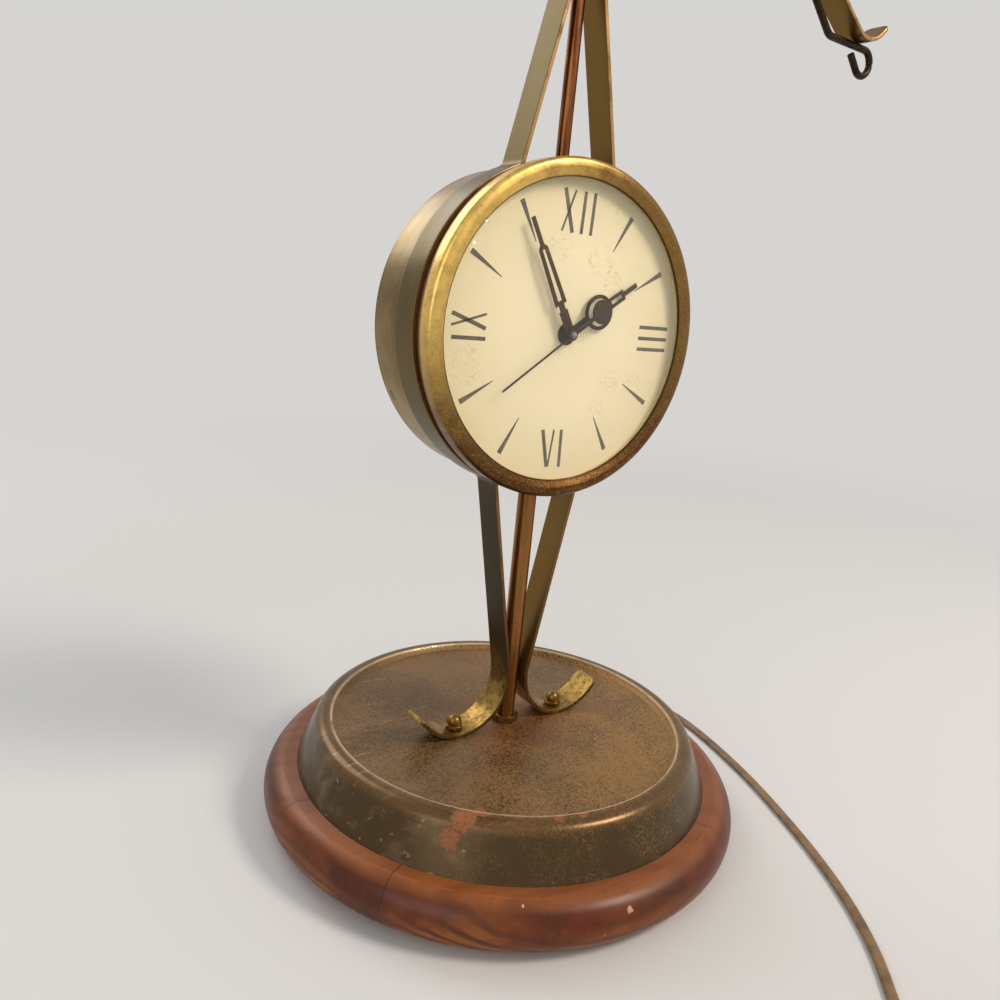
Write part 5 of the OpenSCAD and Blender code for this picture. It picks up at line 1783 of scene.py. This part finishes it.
    def cap_nut(self, name: str, flats: float, height: float) -> Piece:
        """Makes a domed nut standing on the origin: a chamfered hexagon with a ball on it.

        Args:
            name: Name of the piece.
            flats: Size across the flats.
            height: Height of the hexagon.

        Returns:
            The nut.
        """
        hexagon = self.hexagon(name, flats, height, (0.5, 0.6))
        ball_r = flats * 0.49
        dome = [(0.0, height - 0.8), (ball_r * 0.93, height - 0.8), (ball_r * 0.93, height)]
        dome += arc(0, height + ball_r * 0.35, ball_r, -20, 90, 14)
        ball = turned(name + "_ball", dome, 40)
        nut = joined(name, [hexagon, ball])
        return bevelled(nut, 0.18, 2, 35.0)

    def build(self, frame: dict) -> None:
        """Makes straps, hooks, nuts, tube and rod.
        """
        s = self.sizes
        for node in ("crown_bolt", "crown_nut", "foot_bolts"):
            dress(refined(frame["nodes"][node], node + "_finished", 0.2), NUT_BRASS, "bright_brass", node)
        mirror = Matrix.Scale(-1, 4, (1, 0, 0))
        for make, finish, slot, node in ((self.strap, STRAP_BRASS, "aged_brass", "strap"),
                                         (self.wire, DARK_WIRE, "dark_wire", "hook")):
            right = make()
            left = placed(copied(right, right.name.replace("right", "left")), mirror)
            dress(right, finish, slot, "right_" + node)
            dress(left, finish, slot, "left_" + node)
        nut = self.cap_nut("acorn_nut_a", self.acorn_flats, self.acorn_h)
        other = copied(nut, "acorn_nut_b")
        seat_z = s.field_z + s.strap_t + self.acorn_lift
        placed(nut, at((-s.foot_x, 0, seat_z), 0.3))
        placed(other, at((s.foot_x, 0, seat_z), -0.2))
        dress(nut, NUT_BRASS, "bright_brass", "acorn_nuts")
        dress(other, NUT_BRASS, "bright_brass")
        foot = self.hexagon("column_nut", self.foot_flats, self.foot_nut_h, (0.7, 0.7), s.tube_r + 0.05)
        bevelled(foot, 0.15, 2, 35.0)
        placed(foot, at((0, 0, s.field_z)))
        dress(foot, NUT_BRASS, "bright_brass", "tube_nut")
        low = self.tube_low
        tube_top = s.dial_z - s.case_r + 10
        tube = turned("column_lower_tube", [(s.tube_r - 1, low), (s.tube_r, low), (s.tube_r, tube_top),
                                            (s.tube_r - 1, tube_top), (s.tube_r - 1, low)], 64)
        dress(tube, COPPER_TUBE, "copper_tube", "column_tube")
        rod_low, rod_top = s.dial_z + s.case_r - 8, s.crown_z + 6
        rod = turned("column_upper_rod", rounded([(0, rod_low, 0), (s.rod_r, rod_low, 0.3),
                                                  (s.rod_r, rod_top, 0.8), (0, rod_top, 0)]), 48)
        dress(rod, COPPER_TUBE, "copper_tube", "upper_rod")


@dataclass
class Case:
    """Drum, cover, bezel, glass and dial."""

    sizes: Sizes
    wall: float = 0.8
    bezel_out: float = 2.6
    bezel_depth: float = 9.5
    bezel_f: float = 6.9
    glass_dome: float = 11.7
    glass_t: float = 2.0
    skirt_r: float = 75.35
    stud_angles: Point3 = (208.5, 328.5, 88.5)
    stud_in: float = 5.3
    knob_drop: float = 24.0
    knob_r: float = 9.0
    knob_h: float = 9.0
    flutes: int = 24
    air_r: float = 45.72
    air_half: float = 1.5
    ink_t: float = 0.06
    # Outer and inner radius of the wedge markers, and half their width there.
    wedge: tuple[float, float, float, float] = (65.4, 46.0, 1.3, 0.2)

    @property
    def glass_r(self) -> float:
        """Radius of the glass as far as it is seen."""
        return self.sizes.case_r - self.sizes.bezel_face

    @property
    def lip(self) -> float:
        """How far in front of the middle the bezel's inner lip is."""
        return self.sizes.dial_f + self.bezel_f - 1.6

    def studs(self, size: Point3, width: float, segments: int, radius: float) -> Iterable[Piece]:
        """Makes the three rounded blocks where cover and drum catch, one after another.

        Args:
            size: Their size through, along and across the wall.
            width: Width of the bevel on their edges.
            segments: Steps across the bevel.
            radius: Radius at which they sit.

        Yields:
            Each block in its place.
        """
        for angle in self.stud_angles:
            start()
            bpy.ops.mesh.primitive_cube_add(size=MM)
            bpy.context.object.scale = size
            block = bevelled(applied(), width, segments)
            yield placed(block, Matrix.Rotation(math.radians(angle), 4, "Z")
                         @ at((radius, 0, self.stud_in - self.sizes.case_rear)))

    def drum(self) -> None:
        """Draws the drum with its rolled front lip and three slots."""
        s = self.sizes
        inner = s.case_r - self.wall
        back, front = -s.case_rear, s.dial_f - 0.8
        outline = [(inner, back), (s.case_r - 0.25, back), (s.case_r, back + 0.3), (s.case_r, front - 0.4),
                   (s.case_r - 0.4, front), (inner - 7, front), (inner - 7, front - self.wall),
                   (inner, front - self.wall), (inner, back)]
        drum = turned("case_drum", outline, 192)
        for slot in self.studs((6.0, 5.1, 2.0), 0.9, 3, s.case_r):
            cut(drum, slot)
        placed(drum, s.head)
        tidy(drum)
        dress(drum, DRUM_BRASS, "case_bronze", "case_shell")

    def bezel(self) -> None:
        """Spins the bezel's rounded ring."""
        s = self.sizes
        out = s.case_r + self.bezel_out
        crest = s.dial_f + self.bezel_f
        rear, lip, glass_r = crest - self.bezel_depth, self.lip, self.glass_r
        outline = rounded([(s.case_r + 0.05, rear, 0), (out - 0.5, rear, 0.4), (out, rear + 0.6, 0.4),
                           (out, crest - 0.6, 3.4), (out - 4.6, crest + 0.2, 2.4),
                           (glass_r + 1.0, lip + 0.15, 0.8), (glass_r, lip - 0.3, 0.35),
                           (glass_r, lip - 0.9, 0), (glass_r + 3, lip - 0.9, 0.5),
                           (out - 3.5, crest - 1.2, 1.5), (out - 1.2, crest - 3.0, 1.0),
                           (out - 1.0, rear + 1.2, 0), (s.case_r + 0.05, rear + 1.2, 0),
                           (s.case_r + 0.05, rear, 0)], 10.0)
        ring = turned("case_bezel", outline, 192)
        dress(placed(ring, s.head), BEZEL_BRASS, "bright_brass", "bezel")

    def glass(self) -> None:
        """Blows the domed glass."""
        s = self.sizes
        seat_f = self.lip - 0.95
        drop = s.dial_f + self.glass_dome - seat_f
        ball = (self.glass_r ** 2 + drop ** 2) / (2 * drop)
        centre = s.dial_f + self.glass_dome - ball
        edge = s.case_r - self.wall - 0.6
        ring_f = s.dial_f + 3
        reach = [edge * i / 40 for i in range(41)]
        outer = [(r, centre + math.sqrt(ball ** 2 - r ** 2)) for r in reach]
        bore = ball - self.glass_t
        inner = [(r, max(ring_f, centre + math.sqrt(bore ** 2 - r ** 2))) for r in reversed(reach)]
        pane = turned("domed_glass", outer + inner, 128, 40.0)
        dress(placed(pane, s.head), GLASS, "crystal_glass", "crystal")

    def dial(self) -> None:
        """Lays the dial plate and prints its numerals and markers."""
        s = self.sizes
        front = s.dial_f
        section = [(3.5, front - 0.8), (75.2, front - 0.8), (75.2, front), (3.5, front), (3.5, front - 0.8)]
        plate_piece = turned("dial_plate", section, 128)
        dress(placed(plate_piece, s.head), DIAL_CREAM, "dial_cream", "dial")
        strokes = [((-9.3, 64.8), (-3.1, 45.9), 2.1), ((-3.1, 64.6), (-9.3, 46.1), 1.1),
                   ((2.8, 64.7), (2.2, 45.9), 1.8), ((8.5, 64.7), (7.9, 45.8), 1.8),
                   ((46.6, 5.8), (66.2, 5.8), 1.8), ((46.6, 0.3), (66.2, 0.3), 1.8),
                   ((46.6, -5.1), (66.2, -5.1), 1.8),
                   ((-8.0, -45.9), (-3.7, -64.4), 2.0), ((-1.1, -45.9), (-3.0, -64.4), 1.1),
                   ((3.5, -46.0), (4.0, -64.7), 1.8), ((-64.0, 6.2), (-46.0, 0.1), 1.9),
                   ((-46.1, 6.5), (-64.1, 0.9), 1.1), ((-63.6, -4.3), (-45.8, -4.4), 1.8)]
        marks = []
        for k, (a, b, w) in enumerate(strokes):
            p, q = Vector(a), Vector(b)
            side = (q - p).orthogonal().normalized() * w / 2
            marks.append((f"stroke_{k}", (p - side, q - side, q + side, p + side)))
        far, near, wide, tip = self.wedge
        for hour in (1, 2, 4, 5, 7, 8, 10, 11):
            a = math.radians(90 - 30 * hour)
            out, across = Vector((math.cos(a), math.sin(a))), Vector((-math.sin(a), math.cos(a)))
            marks.append((f"wedge_{hour}", (out * far - across * wide, out * far + across * wide,
                                            out * near + across * tip, out * near - across * tip)))
        ink = joined("dial_numerals", [plate(name, [(c.x, c.y) for c in corners], front, front + self.ink_t)
                                       for name, corners in marks])
        dress(placed(ink, s.head), DIAL_INK, "hand_dark")

    def cover(self) -> None:
        """Presses the back cover: rounded edge, sunk ring, seven slots for air, knob hole and three tabs."""
        s = self.sizes
        back, wall, skirt = -s.case_rear, self.wall, self.skirt_r
        outline = rounded([(0, back, 0), (59.6, back, 0.8), (60.8, back + 0.8, 0.8), (65.2, back + 0.8, 0.8),
                           (66.4, back, 0.8), (skirt, back, 1.4), (skirt, back + 8, 0.1),
                           (skirt - wall, back + 8, 0.1), (skirt - wall, back + wall, 0.6),
                           (66.8, back + wall, 0.6), (65.6, back + 2 * wall, 0.6),
                           (60.4, back + 2 * wall, 0.6), (59.2, back + wall, 0.6), (0, back + wall, 0)], 15.0)
        cover = turned("vented_back_cover", outline, 160)
        reach, r = s.case_r * 0.18 / 2, self.air_half
        openings = [plate("knob_hole", arc(0, -self.knob_drop, 2.6, 0, 350, 35), back - 1, back + 2)]
        slot = arc(self.air_r + reach, 0, r, -90, 90, 8) + arc(self.air_r - reach, 0, r, 90, 270, 8)
        opening = plate("air_slot", slot, back - 1, back + 2)
        openings += [placed(copied(opening, f"air_slot_{angle}"), at((0, 0, 0), math.radians(angle)))
                     for angle in range(30, 151, 20)]
        bpy.data.objects.remove(opening, do_unlink=True)
        cut(cover, joined("openings", openings))
        bevelled(cover, 0.12, 1, 50.0)
        piece = joined("vented_back_cover", [cover, *self.studs((1.2, 4.3, 1.6), 0.3, 2, skirt + 0.2)])
        dress(placed(piece, s.head), DRUM_BRASS, "case_bronze", "back_cover")

    def knob(self) -> None:
        """Moulds the setting knob: fluted round, broken edges and a dished face."""
        s = self.sizes
        high = self.knob_h
        ring = []
        for k in range(self.flutes * 6):
            a = math.tau * k / (self.flutes * 6)
            deep = 0.5 - 0.5 * math.cos(self.flutes * a)
            out = self.knob_r - 0.02 - 0.6 * deep ** 2
            ring.append((out * math.cos(a), out * math.sin(a)))
        knob = plate("setting_knob", ring, 0.0, high)
        bevelled(knob, 0.45, 3, 60.0)
        cut(knob, turned("knob_dish", [(0, high - 0.9), (4.6, high - 0.7), (6.4, high - 0.1),
                                       (6.9, high + 0.5), (0, high + 0.5)], 64))
        cut(knob, turned("knob_bore", [(0, -0.5), (1.24, -0.5), (1.24, high - 1.5), (0, high - 1.5)], 32))
        tidy(knob, 35.0)
        placed(knob, s.head @ at((0, -self.knob_drop, -s.case_rear - 1), math.pi, "X"))
        dress(knob, PHENOLIC, "knob_black", "set_knob", body=Body.SETTING)

    def hands(self, frame: dict) -> None:
        """Finishes the hands: their edges broken, the seconds hand with its bright cap.
        """
        s = self.sizes
        for node, name, width, body in (("hour_hand", "hour_pointer", 0.1, Body.HOUR),
                                        ("minute_hand", "minute_pointer", 0.1, Body.MINUTE),
                                        ("second_hand", "seconds_pointer", 0.1, Body.SECONDS),
                                        ("centre_nut", "dial_centre_nut", 0.15, Body.ROOT)):
            dress(refined(frame["nodes"][node], name, width), HAND_BRONZE, "hand_dark", node, body=body)
        low = s.dial_f + 5.6
        cap = turned("seconds_cap", [(0, low), (1.5, low), (1.6, low + 0.1), (1.6, low + 0.3)]
                     + arc(0, low + 0.3, 1.35, 0, 90, 10), 40)
        dress(placed(cap, s.head), PLAIN_STEEL, "bright_brass", body=Body.SECONDS)

    def build(self, frame: dict) -> None:
        """Makes the case's pieces.
        """
        self.drum()
        self.bezel()
        self.glass()
        self.dial()
        self.cover()
        self.knob()
        self.hands(frame)


@dataclass
class Studio:
    """Pale floor, white surroundings and soft lamps."""

    floor_size: float = 8.0
    fade: Point2 = (0.45, 1.6)
    backdrop: str = "#d6d4d1"
    world_light: float = 0.46
    aim_z: float = 0.2
    # Name, place in metres, size in metres, watts and colour.
    lamps: tuple[tuple[str, Point3, float, float, str], ...] = (
        ("key", (0.9, -1.1, 1.5), 0.6, 20.5, "#fff3e6"), ("fill", (-1.6, -0.9, 0.9), 1.4, 7.0, "#f8f6f4"),
        ("rim", (-0.4, 1.6, 1.4), 1.2, 10.0, "#ffffff"),
        ("glint", (0.477, -1.872, 0.95), 0.032, 0.2, "#ffffff"),
        ("low_glint", (0.39, -1.93, 0.79), 0.022, 0.08, "#ffffff"))

    def seen(self, skin: Skin) -> Socket:
        """1 where the eye, a gloss or a glass looks, 0 where light only falls.

        Args:
            skin: The floor's or the world's.

        Returns:
            The mask.
        """
        rays = skin.put("LightPath", out="Is Camera Ray").node.outputs
        kinds = ("Camera", "Glossy", "Transmission")
        return skin.folded("MAXIMUM", *(rays[f"Is {kind} Ray"] for kind in kinds))

    def floor(self) -> None:
        """Lays the floor, which fades into the backdrop."""
        start()
        bpy.ops.mesh.primitive_plane_add(size=self.floor_size, location=(0, 0, 0))
        floor = bpy.context.object
        floor.name = "studio_floor"
        material = bpy.data.materials.new("pale_floor")
        skin = Skin.bare(material)
        seen = self.seen(skin)
        far = skin.put("VectorMath", {0: skin.put("TexCoord", out="Object")}, "Value", operation="LENGTH")
        far = skin.put("MapRange", {0: far, 1: self.fade[0], 2: self.fade[1]},
                       interpolation_type="SMOOTHERSTEP")
        near = skin.put("BsdfPrincipled", {"Base Color": "#dddcda", "Roughness": 0.6})
        away = skin.put("Emission", {"Color": self.backdrop, "Strength": 1.0})
        share = skin.put("Math", {0: far, 1: seen}, operation="MULTIPLY")
        mixed = skin.put("MixShader", {0: share, 1: near, 2: away})
        skin.put("OutputMaterial", {"Surface": mixed})
        floor.data.materials.append(material)
        floor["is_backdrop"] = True

    def build(self) -> None:
        """Adds floor, world and lamps."""
        self.floor()
        world = bpy.data.worlds.new("soft_white")
        bpy.context.scene.world = world
        skin = Skin.bare(world)
        plain = skin.put("Background", {"Color": "#ffffff", "Strength": self.world_light})
        pale = skin.put("Background", {"Color": self.backdrop, "Strength": 1.0})
        skin.put("OutputWorld", {"Surface": skin.put("MixShader", {0: self.seen(skin), 1: plain, 2: pale})})
        for name, place, size, power, tint in self.lamps:
            data = bpy.data.lights.new(name, "AREA")
            data.shape = "DISK"
            data.size = size
            data.energy = power
            data.color = linear(tint)[:3]
            lamp = added(name, data)
            lamp.location = place
            way = Vector((0, 0, self.aim_z)) - Vector(place)
            lamp.rotation_euler = way.to_track_quat("-Z", "Y").to_euler()


# Finishes of the frame's own nodes, which keep their meshes.
NODE_FINISHES: dict[str, Finish] = {
    "base_felt": FELT, "dial_ring": SPACER, "inner_lead": CORD_VINYL, "stator_core": CORE_STEEL,
    "coil_bobbin": FIBRE, "motor_coil": WINDING, "rotor_can": CAN_ALUMINIUM,
    **dict.fromkeys(("tube_locknut", "tube_washer", "case_nut", "rod_nut", "clutch_spring", "plate_pillars",
                     "plate_screws", "core_posts", "core_screws", "set_pinion"), PLAIN_STEEL),
    **dict.fromkeys(("hour_wheel", "cannon_pinion", "minute_wheel", "seconds_arbor", "third_wheel",
                     "centre_wheel", "front_plate", "back_plate", "drive_pinion"), CUT_BRASS),
}


def corners(box: tuple[Vector, Vector]) -> list[list[float]]:
    """A box's two corners as plain lists."""
    return [[float(v) for v in corner] for corner in box]


def main() -> None:
    """Builds the clock round the frame, then the studio."""
    logging.basicConfig(level=logging.INFO, format="%(name)s: %(message)s")
    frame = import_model()
    boxes = {"cad": corners(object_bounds())}
    sizes = Sizes()
    PhotoCamera().build()
    Cord().build()
    Base(sizes).build()
    Straps(sizes).build(frame)
    Case(sizes).build(frame)
    coat_nodes(frame, NODE_FINISHES)
    Studio().build()
    scene = bpy.context.scene
    scene.view_settings.view_transform = "Standard"
    boxes["visual"] = corners(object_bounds())


if __name__ == "__main__":
    main()
